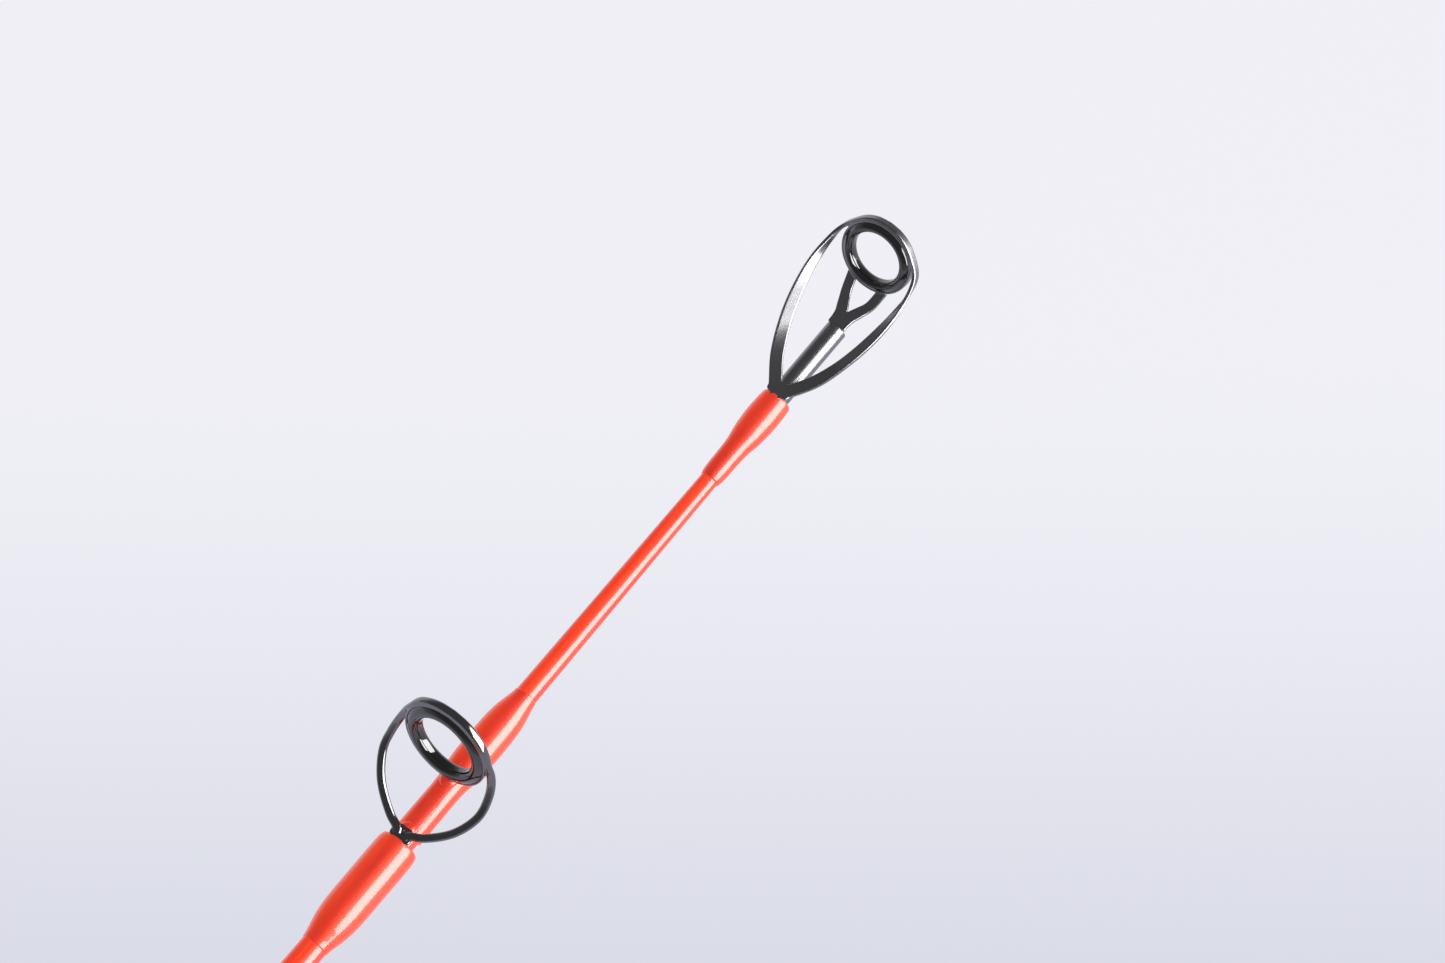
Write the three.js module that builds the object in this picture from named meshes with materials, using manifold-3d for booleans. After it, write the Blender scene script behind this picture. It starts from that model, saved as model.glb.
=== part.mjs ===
// Ice fishing rod: a solid glass blank with a tip-top, four double-foot guides, a hook keeper
// and a handle with an up-locking reel seat.
// Millimetres. +X runs along the rod to its tip, +Z is up on the guides' side, and the origin is
// the middle of the butt cap's flat end, on the blank's axis.
import * as THREE from "three";
import { mergeVertices } from "three/addons/utils/BufferGeometryUtils.js";
import Module from "manifold-3d";

const wasm = await Module();
wasm.setup();

// ---- Driving dimensions ----
const SIDES = 20; // facets of each part that shares the rod's axis
const GLUE_GAP = 0.06; // radial gap between glued parts
const FACE_GAP = 0.3; // gap between end faces that meet
const RUNNING_GAP = 0.3; // radial gap around what slides or turns

const BUTT_CAP = { length: 9, lip: 6, diameter: 25 };
const REAR_GRIP = { length: 104, diameter: 24, waist: 20.5 };
const REAR_TRIM = { length: 3, diameter: 20.5 };
const SEAT = {
  length: 92,
  bore: 11,
  barrel: 15.4,
  threadCrest: 16.6,
  pitch: 3,
  threadDepth: 0.8,
  threadStart: 2.5,
  saddleWidth: 8.5,
  saddleHeight: 8.9,
  saddleLength: 27,
};
const HOOD = { wall: 1.1, pocket: 5.8, pocketWidth: 9.6, slope: 6.5, fixedLength: 17, slidingLength: 14.5 };
const PAD = { thickness: 0.9, width: 7.4, length: 7, inset: 0.5 };
const NUT = { length: 14, wall: 2.1, flutes: 12, fluteDepth: 0.55 };
const HOOD_TRAVEL = 18; // how far the sliding hood backs off along the thread
const KEYWAY = { width: 2.6, floor: 6.6, tabLength: 6 }; // keeps the sliding hood from turning
const RING_SIDES = 24; // facets of the line rings and their collars
const FOREGRIP = { length: 42, rear: 21.5, front: 12.5 };
const WINDING_CHECK = { length: 3.2, diameter: 12 };
const ARBOR = { length: 14, count: 3 };
const HANDLE_WRAP = { length: 20, coat: 0.45 };

const BLANK = { handleDiameter: 8.4, shoulderDiameter: 1.9, ferruleDiameter: 1.8, buttInset: 14 };
const TIP_X = 690; // back edge of the tip-top's frame
const TIP_TUBE = { length: 9.5, underWrap: 6, outer: 2.3, bore: 1.94 };
const TIP_RING = { outer: 8, bore: 5.7, height: 5.3, ahead: 16.3, lean: 27.5 };
const RING_THICKNESS = 1.25;
const TIP_WRAP = { length: 11.5 };

// Ring sizes and places of the four guides, from the tip to the handle. spacing is a guide's place
// along the open blank, from the hook keeper at 0 to the tip-top at 1. behind is the distance from
// the ring's centre back to the point where its two legs meet.
const GUIDES = [
  { spacing: 0.867, outer: 9.6, bore: 6.7, height: 9.8, behind: 8.5, foot: 13.5 },
  { spacing: 0.667, outer: 12, bore: 8.6, height: 12.8, behind: 10.8, foot: 14.5 },
  { spacing: 0.432, outer: 15.2, bore: 11.2, height: 17, behind: 14.2, foot: 16 },
  { spacing: 0.153, outer: 19.2, bore: 14.6, height: 22, behind: 18, foot: 18 },
];
const GUIDE_LEAN = 17.5;

const STRIP = { width: 1.4, bandWidth: 0.95, thickness: 0.44 }; // the frames' sheet metal
const FOOT = { width: 1.1, tip: 0.6, bare: 0.3, tipThickness: 0.3, thickness: 0.44 };
const COLLAR = { wall: 0.18, width: 0.9 }; // the frame's band around each ring
const KEEPER = { ahead: 4, span: 12, height: 5, wire: 1.1, foot: 5 }; // the hook keeper

// ---- Colours ----
const metal = (color, roughness) => new THREE.MeshStandardMaterial({ color, roughness, metalness: 1 });
const plain = (color, roughness) => new THREE.MeshStandardMaterial({ color, roughness, metalness: 0 });
const GLASS_ORANGE = plain(0xff4a28, 0.12);
const THREAD_ORANGE = plain(0xf9462a, 0.18);
const THREAD_BLACK = plain(0x17181b, 0.25);
const SATIN_BLACK = metal(0x3a3b40, 0.45);
const POLISHED_BLACK = metal(0x303136, 0.15);
const RING_BLACK = plain(0x08080a, 0.08);
const FOAM_BLACK = plain(0x1d1e20, 0.85);
const SEAT_BLACK = plain(0x1a1b1e, 0.4);
const HOOD_STEEL = metal(0x54565c, 0.3);
const PAD_GREY = plain(0x37383b, 0.7);
const RUBBER_BLACK = plain(0x141416, 0.75);
const CHECK_METAL = metal(0x8c8f96, 0.25);
const ARBOR_TAN = plain(0xd9c9a3, 0.9);

// ---- Solids ----

// A three.js geometry as a manifold-3d solid that faces out.
function solidOf(geometry) {
  const bare = geometry.clone();
  bare.deleteAttribute("normal");
  bare.deleteAttribute("uv");
  const merged = mergeVertices(bare, 1e-4);
  const build = (triVerts) =>
    new wasm.Manifold(
      new wasm.Mesh({ numProp: 3, vertProperties: merged.attributes.position.array, triVerts }),
    );
  const faces = new Uint32Array(merged.index.array);
  const made = build(faces);
  return made.volume() < 0 ? build(faces.map((_, i) => faces[i - (i % 3) + 2 - (i % 3)])) : made;
}

// A manifold-3d solid as a flat-shaded three.js geometry.
function geometryOf(solid) {
  const mesh = solid.getMesh();
  const stride = mesh.numProp;
  const points = new Float32Array(mesh.numVert * 3);
  for (let i = 0; i < mesh.numVert; i++) {
    points.set(mesh.vertProperties.subarray(i * stride, i * stride + 3), i * 3);
  }
  const geometry = new THREE.BufferGeometry();
  geometry.setAttribute("position", new THREE.BufferAttribute(points, 3));
  geometry.setIndex(new THREE.BufferAttribute(mesh.triVerts, 1));
  const flat = geometry.toNonIndexed();
  flat.computeVertexNormals();
  return flat;
}

const join = (...solids) => solids.reduce((whole, piece) => whole.add(piece));
const cut = (body, ...tools) => tools.reduce((left, tool) => left.subtract(tool), body);

// A solid of revolution about the X axis, from [x, radius] points that start and end on the axis.
function turned(profile, sides = SIDES) {
  const points = profile.map(([x, radius]) => new THREE.Vector2(radius, x));
  return solidOf(new THREE.LatheGeometry(points, sides).rotateZ(-Math.PI / 2));
}

// A ring about the X axis, from a closed loop of [x, radius] points.
function turnedRing(loop, sides = SIDES) {
  return turned([...loop, loop[0]], sides);
}

// A plain rod along X, with its own radius at each end.
function bar(start, end, startRadius, endRadius = startRadius, sides = SIDES) {
  return turned([[start, 0], [start, startRadius], [end, endRadius], [end, 0]], sides);
}

// A sleeve along X from its outer [x, radius] points and a bore.
function sleeve(outer, boreStart, boreEnd = boreStart) {
  const first = outer[0][0];
  const last = outer[outer.length - 1][0];
  return turnedRing([[first, boreStart], ...outer, [last, boreEnd]]);
}

function block(x0, x1, y0, y1, z0, z1) {
  const box = new THREE.BoxGeometry(x1 - x0, y1 - y0, z1 - z0);
  return solidOf(box.translate((x0 + x1) / 2, (y0 + y1) / 2, (z0 + z1) / 2));
}

// A flat plate: an outline of [x, y] points, from z0 up by its thickness.
function plate(outline, z0, thickness) {
  const shape = new THREE.Shape(outline.map(([x, y]) => new THREE.Vector2(x, y)));
  const geometry = new THREE.ExtrudeGeometry(shape, { depth: thickness, bevelEnabled: false });
  return solidOf(geometry.translate(0, 0, z0));
}

// A closed skin over a list of loops with as many points each, with a flat cap at both ends.
function skin(loops) {
  const count = loops[0].length;
  const points = loops.flat().flatMap((p) => [p.x, p.y, p.z]);
  const faces = [];
  for (let i = 0; i + 1 < loops.length; i++) {
    for (let j = 0; j < count; j++) {
      const a = i * count + j;
      const b = i * count + ((j + 1) % count);
      faces.push(a, b, b + count, a, b + count, a + count);
    }
  }
  const last = (loops.length - 1) * count;
  for (let j = 1; j + 1 < count; j++) {
    faces.push(0, j + 1, j, last, last + j, last + j + 1);
  }
  const geometry = new THREE.BufferGeometry();
  geometry.setAttribute("position", new THREE.Float32BufferAttribute(points, 3));
  geometry.setIndex(faces);
  return solidOf(geometry);
}

// The corners of a strip's section about a point: a rectangle with chamfered edges.
function stripSection(centre, across, through, width, thickness) {
  const chamfer = 0.28 * thickness;
  const corners = [
    [width / 2 - chamfer, -thickness / 2],
    [width / 2, -thickness / 2 + chamfer],
    [width / 2, thickness / 2 - chamfer],
    [width / 2 - chamfer, thickness / 2],
    [-width / 2 + chamfer, thickness / 2],
    [-width / 2, thickness / 2 - chamfer],
    [-width / 2, -thickness / 2 + chamfer],
    [-width / 2 + chamfer, -thickness / 2],
  ];
  return corners.map(([a, b]) =>
    centre.clone().addScaledVector(across, a).addScaledVector(through, b),
  );
}

// Loops of a strip that follows a curve. acrossAt and widthAt give its width's direction and size
// at each share of the curve's length.
function stripLoops(curve, steps, thickness, acrossAt, widthAt) {
  const loops = [];
  for (let i = 0; i <= steps; i++) {
    const share = i / steps;
    const tangent = curve.getTangentAt(share);
    const through = new THREE.Vector3().crossVectors(tangent, acrossAt(share, tangent)).normalize();
    const across = new THREE.Vector3().crossVectors(through, tangent).normalize();
    loops.push(stripSection(curve.getPointAt(share), across, through, widthAt(share), thickness));
  }
  return loops;
}

const mirrored = (loops) => loops.map((loop) => loop.map((p) => new THREE.Vector3(p.x, -p.y, p.z)));

// ---- The rod's axis ----
const gripStart = BUTT_CAP.lip + FACE_GAP;
const gripEnd = gripStart + REAR_GRIP.length;
const trimStart = gripEnd + FACE_GAP;
const trimEnd = trimStart + REAR_TRIM.length;
const seatStart = trimEnd + FACE_GAP;
const seatEnd = seatStart + SEAT.length;
const foregripStart = seatEnd + FACE_GAP;
const foregripEnd = foregripStart + FOREGRIP.length;
const checkStart = foregripEnd + FACE_GAP;
const checkEnd = checkStart + WINDING_CHECK.length;
const handleWrapStart = checkEnd + FACE_GAP;
const handleWrapEnd = handleWrapStart + HANDLE_WRAP.length;
const keeperWrapLength = KEEPER.foot + 1.4;
const keeperWrapAway = KEEPER.span / 2 + 0.9; // from the keeper's middle to each wrap
const keeperX = handleWrapEnd + KEEPER.ahead + keeperWrapLength + keeperWrapAway;
const keeperEnd = keeperX + keeperWrapAway + keeperWrapLength;
const tubeStart = TIP_X - TIP_TUBE.underWrap;
const tubeEnd = TIP_X + TIP_TUBE.length;

// The blank's radius: straight through the handle, then an even taper to the tip-top's tube.
function blankRadius(x) {
  const share = THREE.MathUtils.clamp((x - foregripEnd) / (tubeStart - foregripEnd), 0, 1);
  return THREE.MathUtils.lerp(BLANK.handleDiameter, BLANK.shoulderDiameter, share) / 2;
}

// What is cut out of a part along a stretch of the blank to leave room for it.
function blankRoom(start, end) {
  return bar(start, end, blankRadius(start) + GLUE_GAP, blankRadius(end) + GLUE_GAP);
}

function blank() {
  const ferrule = BLANK.ferruleDiameter / 2;
  return turned([
    [BLANK.buttInset, 0],
    [BLANK.buttInset, blankRadius(0)],
    [foregripEnd, blankRadius(foregripEnd)],
    [tubeStart - FACE_GAP, blankRadius(tubeStart)],
    [tubeStart - FACE_GAP, ferrule],
    [tubeEnd - 1.2, ferrule],
    [tubeEnd - 1.2, 0],
  ]);
}

// ---- Rings and their frames ----

// Directions of a ring that leans to the tip by an angle: out of its face to the tip, and up.
function ringAxes(leanDegrees) {
  const lean = THREE.MathUtils.degToRad(leanDegrees);
  return {
    normal: new THREE.Vector3(Math.cos(lean), 0, -Math.sin(lean)),
    up: new THREE.Vector3(Math.sin(lean), 0, Math.cos(lean)),
    tilt: lean,
  };
}

// A solid about the X axis, leaned and moved to a ring's place.
function atRing(solid, centre, leanDegrees) {
  return solid.rotate([0, leanDegrees, 0]).translate([centre.x, centre.y, centre.z]);
}

// A ceramic ring: an outer flange, a step and a bore with rounded lips.
function ceramicRing(centre, leanDegrees, outer, bore) {
  const rim = outer / 2;
  const hole = bore / 2;
  const half = RING_THICKNESS / 2;
  const lip = hole + 0.42 * (rim - hole);
  const loop = [
    [-0.45 * half, hole],
    [-half, hole + 0.45 * (lip - hole)],
    [-0.8 * half, lip],
    [-0.5 * half, lip + 0.1],
    [-0.5 * half, rim],
  ];
  const back = loop.map(([x, radius]) => [-x, radius]).reverse();
  return atRing(turnedRing([...loop, ...back], RING_SIDES), centre, leanDegrees);
}

// What a frame is cut by to leave room for its ring.
function ringRoom(centre, leanDegrees, outer) {
  const half = RING_THICKNESS / 2 + GLUE_GAP;
  const radius = outer / 2 + GLUE_GAP;
  return atRing(bar(-half, half, radius, radius, RING_SIDES), centre, leanDegrees);
}

// The frame's band around a ring's rim.
function collar(centre, leanDegrees, outer) {
  const inside = outer / 2 + GLUE_GAP;
  const outside = inside + COLLAR.wall;
  const half = COLLAR.width / 2;
  const loop = [[-half, inside], [-half, outside], [half, outside], [half, inside]];
  return atRing(turnedRing(loop, RING_SIDES), centre, leanDegrees);
}

// The hoop: two legs that rise from the foot, swing wide and meet over the ring's top as a band.
// legs is a list of [along, side, rise] shares between the foot and the ring.
function hoop({ foot, centre, leanDegrees, outer, reach, legs, rootStrip }) {
  const { normal, up } = ringAxes(leanDegrees);
  const bandRadius = outer / 2 + GLUE_GAP + COLLAR.wall + 0.3 * STRIP.thickness;
  const bandShift = 0.1;
  const onBand = (degrees) => {
    const angle = THREE.MathUtils.degToRad(degrees);
    return centre
      .clone()
      .addScaledVector(normal, bandShift)
      .addScaledVector(up, bandRadius * Math.cos(angle))
      .add(new THREE.Vector3(0, bandRadius * Math.sin(angle), 0));
  };
  const leg = legs.map(([along, side, rise]) => new THREE.Vector3(
    THREE.MathUtils.lerp(foot.x, centre.x, along),
    THREE.MathUtils.lerp(foot.y, reach, side),
    THREE.MathUtils.lerp(foot.z, centre.z, rise),
  ));
  const band = [64, 48, 32, 16, 0].map(onBand);
  // A point past the middle keeps the curve level at the top, and the half stops at the top.
  const curve = new THREE.CatmullRomCurve3([foot, ...leg, ...band], false, "centripetal");
  const steps = 15;
  const across = (share, tangent) => {
    const flat = new THREE.Vector3(tangent.y, -tangent.x, 0).normalize();
    const turn = THREE.MathUtils.smoothstep(share, 0.12, 0.72);
    return flat.lerp(normal, turn);
  };
  const width = (share) =>
    THREE.MathUtils.lerp(rootStrip, STRIP.bandWidth, THREE.MathUtils.smoothstep(share, 0.1, 0.7));
  const half = stripLoops(curve, steps, STRIP.thickness, across, width);
  half[steps].forEach((p) => {
    p.y = 0;
  });
  return skin([...half, ...mirrored(half.slice(0, steps)).reverse()]);
}

// A foot that lies back from the legs' root on what it is wrapped to. It stays narrow under its
// wrap and widens to the root past the wrap's end.
function foot(rootX, length, rootWidth, z0, thickness) {
  const root = rootWidth / 2;
  const half = FOOT.width / 2;
  const outline = [
    [-length, -FOOT.tip / 2],
    [-0.55 * length, -half],
    [-FOOT.bare, -half],
    [0, -root],
    [0.9, -root],
    [1.3, 0],
    [0.9, root],
    [0, root],
    [-FOOT.bare, half],
    [-0.55 * length, half],
    [-length, FOOT.tip / 2],
  ];
  return plate(outline.map(([x, y]) => [rootX + x, y]), z0, thickness);
}

const TIP_LEGS = [
  [0.17, 0.42, 0.14],
  [0.42, 0.78, 0.44],
  [0.7, 0.98, 0.76],
  [0.88, 0.99, 0.95],
  [1.01, 0.89, 1.18],
];
const GUIDE_LEGS = [
  [0.08, 0.26, 0.06],
  [0.31, 0.72, 0.25],
  [0.59, 0.98, 0.47],
  [0.78, 1.0, 0.63],
  [0.97, 0.92, 0.87],
];

// ---- The tip-top ----
const tipRingCentre = new THREE.Vector3(TIP_X + TIP_RING.ahead, 0, TIP_RING.height);
const tipFootZ = TIP_TUBE.outer / 2 + GLUE_GAP;
const TIP_FOOT_LENGTH = 4.6;

function tipTube() {
  const outer = TIP_TUBE.outer / 2;
  return sleeve([[tubeStart, outer - 0.06], [tubeStart + 0.5, outer], [tubeEnd, outer]], TIP_TUBE.bore / 2);
}

// One arm of the fork, from the plate at the tube's end to the collar's lower side.
function forkArm(side) {
  const { normal, up } = ringAxes(TIP_RING.lean);
  const reach = TIP_RING.outer / 2 + GLUE_GAP + COLLAR.wall / 2;
  const angle = THREE.MathUtils.degToRad(153);
  const top = tipRingCentre
    .clone()
    .addScaledVector(up, reach * Math.cos(angle))
    .add(new THREE.Vector3(0, side * reach * Math.sin(angle), 0));
  const root = new THREE.Vector3(tubeEnd + 0.9, side * 0.62, 0.82);
  const middle = root.clone().lerp(top, 0.5).add(new THREE.Vector3(0.25, side * 0.1, -0.25));
  const curve = new THREE.CatmullRomCurve3([root, middle, top]);
  const across = () => new THREE.Vector3(-0.35 * normal.x, side, 0).normalize();
  return skin(stripLoops(curve, 6, STRIP.thickness, across, () => 1.15));
}

function forkPlate() {
  const half = TIP_TUBE.outer / 2;
  const outline = [
    [tubeEnd + GLUE_GAP, -half],
    [tubeEnd + 1.4, -half - 0.1],
    [tubeEnd + 2.2, -0.9],
    [tubeEnd + 1.9, 0],
    [tubeEnd + 2.2, 0.9],
    [tubeEnd + 1.4, half + 0.1],
    [tubeEnd + GLUE_GAP, half],
  ];
  return plate(outline, 0.58, STRIP.thickness);
}

function tipFrame() {
  const frame = join(
    hoop({
      foot: new THREE.Vector3(TIP_X + 0.2, 0.74, tipFootZ + STRIP.thickness / 2),
      centre: tipRingCentre,
      leanDegrees: TIP_RING.lean,
      outer: TIP_RING.outer,
      reach: 5.2,
      legs: TIP_LEGS,
      rootStrip: STRIP.width,
    }),
    foot(TIP_X, TIP_FOOT_LENGTH, 2.9, tipFootZ, FOOT.tipThickness),
    collar(tipRingCentre, TIP_RING.lean, TIP_RING.outer),
    forkArm(1),
    forkArm(-1),
    forkPlate(),
  );
  return cut(frame, ringRoom(tipRingCentre, TIP_RING.lean, TIP_RING.outer));
}

function tipRing() {
  return ceramicRing(tipRingCentre, TIP_RING.lean, TIP_RING.outer, TIP_RING.bore);
}

// A channel that clears a foot, cut out of the wrap that holds the foot down.
function footChannel(x0, x1, width, z1) {
  const half = width / 2 + GLUE_GAP;
  return block(x0, x1, -half, half, 0, z1 + GLUE_GAP);
}

function tipWrap() {
  const start = TIP_X - TIP_WRAP.length;
  const over = TIP_TUBE.outer / 2;
  const outer = [
    [start, blankRadius(start) + 0.12],
    [start + 1.4, over + 0.1],
    [start + 4.6, over + 0.18],
    [start + 6.2, over + 0.4],
    [start + 8.4, over + 0.63],
    [start + 9.8, over + 0.58],
    [TIP_X - FOOT.bare, over + 0.3],
  ];
  const body = turned([[start, 0], ...outer, [TIP_X - FOOT.bare, 0]]);
  return cut(
    body,
    blankRoom(start - 1, tubeStart),
    bar(tubeStart - 0.2, TIP_X + 1, over + GLUE_GAP),
    footChannel(TIP_X - TIP_FOOT_LENGTH - GLUE_GAP, TIP_X, FOOT.width, tipFootZ + FOOT.tipThickness),
  );
}

// ---- The guides ----
const GUIDE_ROOT_WIDTH = 2.9; // across the two legs where they meet
const FRONT_FOOT = { thickness: 0.34, width: 1.0, coat: 0.26 };
const FRONT_FOOT_INSET = 3; // from the foot's end to its wrap's
const WRAP_COAT = 0.3; // thread and epoxy over the rear foot
const LEAD_IN_COAT = 0.24; // epoxy over the blank between a guide's two feet

function guideParts(guide) {
  const x = THREE.MathUtils.lerp(keeperEnd, TIP_X, guide.spacing);
  const centre = new THREE.Vector3(x, 0, guide.height);
  const { up } = ringAxes(GUIDE_LEAN);
  const rootX = x - guide.behind;
  const rimRadius = guide.outer / 2 + GLUE_GAP + COLLAR.wall;
  const bottom = centre.clone().addScaledVector(up, -rimRadius + COLLAR.wall / 2);
  const legX = bottom.x + 0.35;
  const restZ = (x) => blankRadius(x) + GLUE_GAP;
  const rearZ = restZ(rootX - guide.foot);
  const frontZ = restZ(legX);
  const frontEnd = legX + guide.foot - 1.6;
  const frame = () => cut(join(
    hoop({
      foot: new THREE.Vector3(rootX + 0.2, 0.72, rearZ + STRIP.thickness / 2),
      centre,
      leanDegrees: GUIDE_LEAN,
      outer: guide.outer,
      reach: 1.27 * (guide.outer / 2),
      legs: GUIDE_LEGS,
      rootStrip: STRIP.bandWidth,
    }),
    foot(rootX, guide.foot - 2.5, GUIDE_ROOT_WIDTH, rearZ, FOOT.thickness),
    collar(centre, GUIDE_LEAN, guide.outer),
    frontLeg(bottom, legX, frontZ, frontEnd - FRONT_FOOT_INSET),
  ),
  ringRoom(centre, GUIDE_LEAN, guide.outer),
  blankRoom(rootX - guide.foot, frontEnd));
  const ring = () => ceramicRing(centre, GUIDE_LEAN, guide.outer, guide.bore);
  const rearWrap = () => {
    const start = rootX - guide.foot;
    const end = rootX - FOOT.bare;
    const height = rearZ + FOOT.thickness + WRAP_COAT;
    return cut(
      turned(wrapProfile(start, end, height, -1)),
      blankRoom(start - 1, end + 1),
      footChannel(start + 2.4, rootX, FOOT.width, rearZ + FOOT.thickness),
    );
  };
  const frontWrap = () => {
    const start = legX + 1.15;
    const coatStart = rootX + 2;
    const height = frontZ + FRONT_FOOT.thickness + FRONT_FOOT.coat;
    const coat = (x) => [x, blankRadius(x) + LEAD_IN_COAT];
    return cut(
      join(
        turned(wrapProfile(start, frontEnd, height, 1)),
        turned([[coatStart, 0], coat(coatStart), coat(start + 0.5), [start + 0.5, 0]]),
      ),
      blankRoom(coatStart - 1, frontEnd + 1),
      footChannel(
        legX - 1.2,
        frontEnd - FRONT_FOOT_INSET + FACE_GAP,
        FRONT_FOOT.width,
        frontZ + FRONT_FOOT.thickness,
      ),
    );
  };
  return { frame, ring, rearWrap, frontWrap };
}

// The outline of a wrap: a long shoulder at its far end and a short one beside the ring's frame.
// side is +1 where the far end looks to the tip.
function wrapProfile(start, end, height, side) {
  const far = side > 0 ? end : start;
  const near = side > 0 ? start : end;
  const shoulder = (distance, share) => {
    const x = far - side * distance;
    return [x, THREE.MathUtils.lerp(blankRadius(x) + 0.12, height, share)];
  };
  const points = [
    [far, 0],
    shoulder(0, 0),
    shoulder(1, 0.45),
    shoulder(2.6, 0.9),
    [near, height],
    [near, 0],
  ];
  return side > 0 ? points.reverse() : points;
}

// The single leg under a ring and the foot that runs to the tip from it.
function frontLeg(bottom, legX, footZ, footEnd) {
  const half = FRONT_FOOT.width / 2;
  const z = footZ + FRONT_FOOT.thickness / 2;
  const curve = new THREE.CatmullRomCurve3(
    [
      bottom.clone(),
      new THREE.Vector3(legX - 0.1, 0, THREE.MathUtils.lerp(z, bottom.z, 0.35)),
      new THREE.Vector3(legX + 0.2, 0, z + 0.3),
      new THREE.Vector3(legX + 0.9, 0, z),
      new THREE.Vector3(footEnd, 0, z),
    ],
    false,
    "centripetal",
  );
  const across = () => new THREE.Vector3(0, 1, 0);
  const width = (share) => 2 * half * (share < 0.5 ? 1 : 1 - 0.9 * (share - 0.5));
  return skin(stripLoops(curve, 14, FRONT_FOOT.thickness, across, width));
}

// ---- The hook keeper ----
const keeperFootZ = blankRadius(keeperX - keeperWrapAway - keeperWrapLength) + GLUE_GAP;

function keeperFrame() {
  const low = keeperFootZ + KEEPER.wire / 2;
  const half = KEEPER.span / 2;
  const high = low + KEEPER.height;
  const route = [
    [-half - KEEPER.foot, low],
    [-half, low],
    [-half + 2, low + 0.3 * KEEPER.height],
    [-1.8, high],
    [1.8, high],
    [half - 2, low + 0.3 * KEEPER.height],
    [half, low],
    [half + KEEPER.foot, low],
  ].map(([x, z]) => new THREE.Vector3(keeperX + x, 0, z));
  const reach = half + KEEPER.foot + 1;
  return cut(
    skin(wireLoops(new THREE.CatmullRomCurve3(route, false, "centripetal"), 24, KEEPER.wire / 2)),
    blankRoom(keeperX - reach, keeperX + reach),
  );
}

// Loops of a round wire along a curve that stays in the XZ plane.
function wireLoops(curve, steps, radius, sides = 8) {
  const loops = [];
  for (let i = 0; i <= steps; i++) {
    const tangent = curve.getTangentAt(i / steps);
    const across = new THREE.Vector3(0, 1, 0);
    const through = new THREE.Vector3().crossVectors(tangent, across);
    const centre = curve.getPointAt(i / steps);
    loops.push(Array.from({ length: sides }, (_, j) => {
      const angle = (2 * Math.PI * j) / sides;
      return centre
        .clone()
        .addScaledVector(across, radius * Math.cos(angle))
        .addScaledVector(through, radius * Math.sin(angle));
    }));
  }
  return loops;
}

function keeperWrap(side) {
  const start = keeperX + side * keeperWrapAway;
  const end = start + side * keeperWrapLength;
  const [low, high] = [Math.min(start, end), Math.max(start, end)];
  const height = keeperFootZ + KEEPER.wire + 0.28;
  return cut(
    turned(wrapProfile(low, high, height, side)),
    blankRoom(low - 1, high + 1),
    footChannel(
      Math.min(start - side, start + side * (KEEPER.foot - 0.7)),
      Math.max(start - side, start + side * (KEEPER.foot - 0.7)),
      KEEPER.wire,
      keeperFootZ + KEEPER.wire,
    ),
  );
}

// ---- The handle ----
function buttCap() {
  const radius = BUTT_CAP.diameter / 2;
  const lip = REAR_GRIP.diameter / 2 - 3;
  return turned([
    [0, 0],
    [0, radius - 2],
    [0.8, radius - 0.6],
    [2.4, radius],
    [BUTT_CAP.lip - 0.6, radius],
    [BUTT_CAP.lip, radius - 0.4],
    [BUTT_CAP.lip, lip],
    [BUTT_CAP.length, lip - 0.3],
    [BUTT_CAP.length, 0],
  ]);
}

function rearGrip() {
  const wide = REAR_GRIP.diameter / 2;
  const waist = REAR_GRIP.waist / 2;
  const trim = REAR_TRIM.diameter / 2;
  const length = REAR_GRIP.length;
  const body = turned([
    [gripStart, 0],
    [gripStart, wide - 0.5],
    [gripStart + 1, wide],
    [gripStart + 0.12 * length, wide],
    [gripStart + 0.3 * length, wide - 0.8],
    [gripStart + 0.5 * length, waist],
    [gripStart + 0.7 * length, waist + 0.5],
    [gripStart + 0.86 * length, waist + 0.9],
    [gripEnd - 3, trim + 0.2],
    [gripEnd, trim],
    [gripEnd, 0],
  ]);
  return cut(
    body,
    bar(gripStart - 1, gripEnd + 1, blankRadius(0) + GLUE_GAP),
    bar(gripStart - 1, BUTT_CAP.length + FACE_GAP, REAR_GRIP.diameter / 2 - 3 + FACE_GAP),
  );
}

function rearTrim() {
  const radius = REAR_TRIM.diameter / 2;
  return sleeve(
    [[trimStart, radius - 0.4], [trimStart + 0.5, radius], [trimEnd - 0.5, radius], [trimEnd, radius - 0.4]],
    blankRadius(0) + GLUE_GAP,
  );
}

// A screw thread about X: a skin whose radius follows the helix. The ridge passes the +Y side at
// the origin, so that a nut's thread and the one it runs on share their origin.
function thread(start, end, crest, origin) {
  const rows = Math.round(((end - start) / SEAT.pitch) * ROWS_PER_TURN);
  const loops = [];
  for (let i = 0; i <= rows; i++) {
    const x = start + ((end - start) * i) / rows;
    loops.push(Array.from({ length: SIDES }, (_, j) => {
      const phase = THREE.MathUtils.euclideanModulo((x - origin) / SEAT.pitch - j / SIDES, 1);
      const radius = crest - SEAT.threadDepth * Math.abs(2 * phase - 1);
      const angle = (2 * Math.PI * j) / SIDES;
      return new THREE.Vector3(x, radius * Math.cos(angle), radius * Math.sin(angle));
    }));
  }
  return skin(loops);
}

const ROWS_PER_TURN = 4;
const THREAD_RUN_OUT = 0.5; // thread past each end of the nut's travel
const threadStart = seatStart + SEAT.threadStart;
const nutBack = threadStart + THREAD_RUN_OUT + HOOD_TRAVEL;
const nutFront = nutBack + NUT.length;
const threadEnd = nutFront + THREAD_RUN_OUT;
const fixedHoodStart = seatEnd - HOOD.fixedLength;
const saddleEnd = fixedHoodStart + 12;
const saddleStart = saddleEnd - SEAT.saddleLength - 12;
const hoodBack = nutFront + FACE_GAP;
const hoodFront = hoodBack + HOOD.slidingLength;

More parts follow.
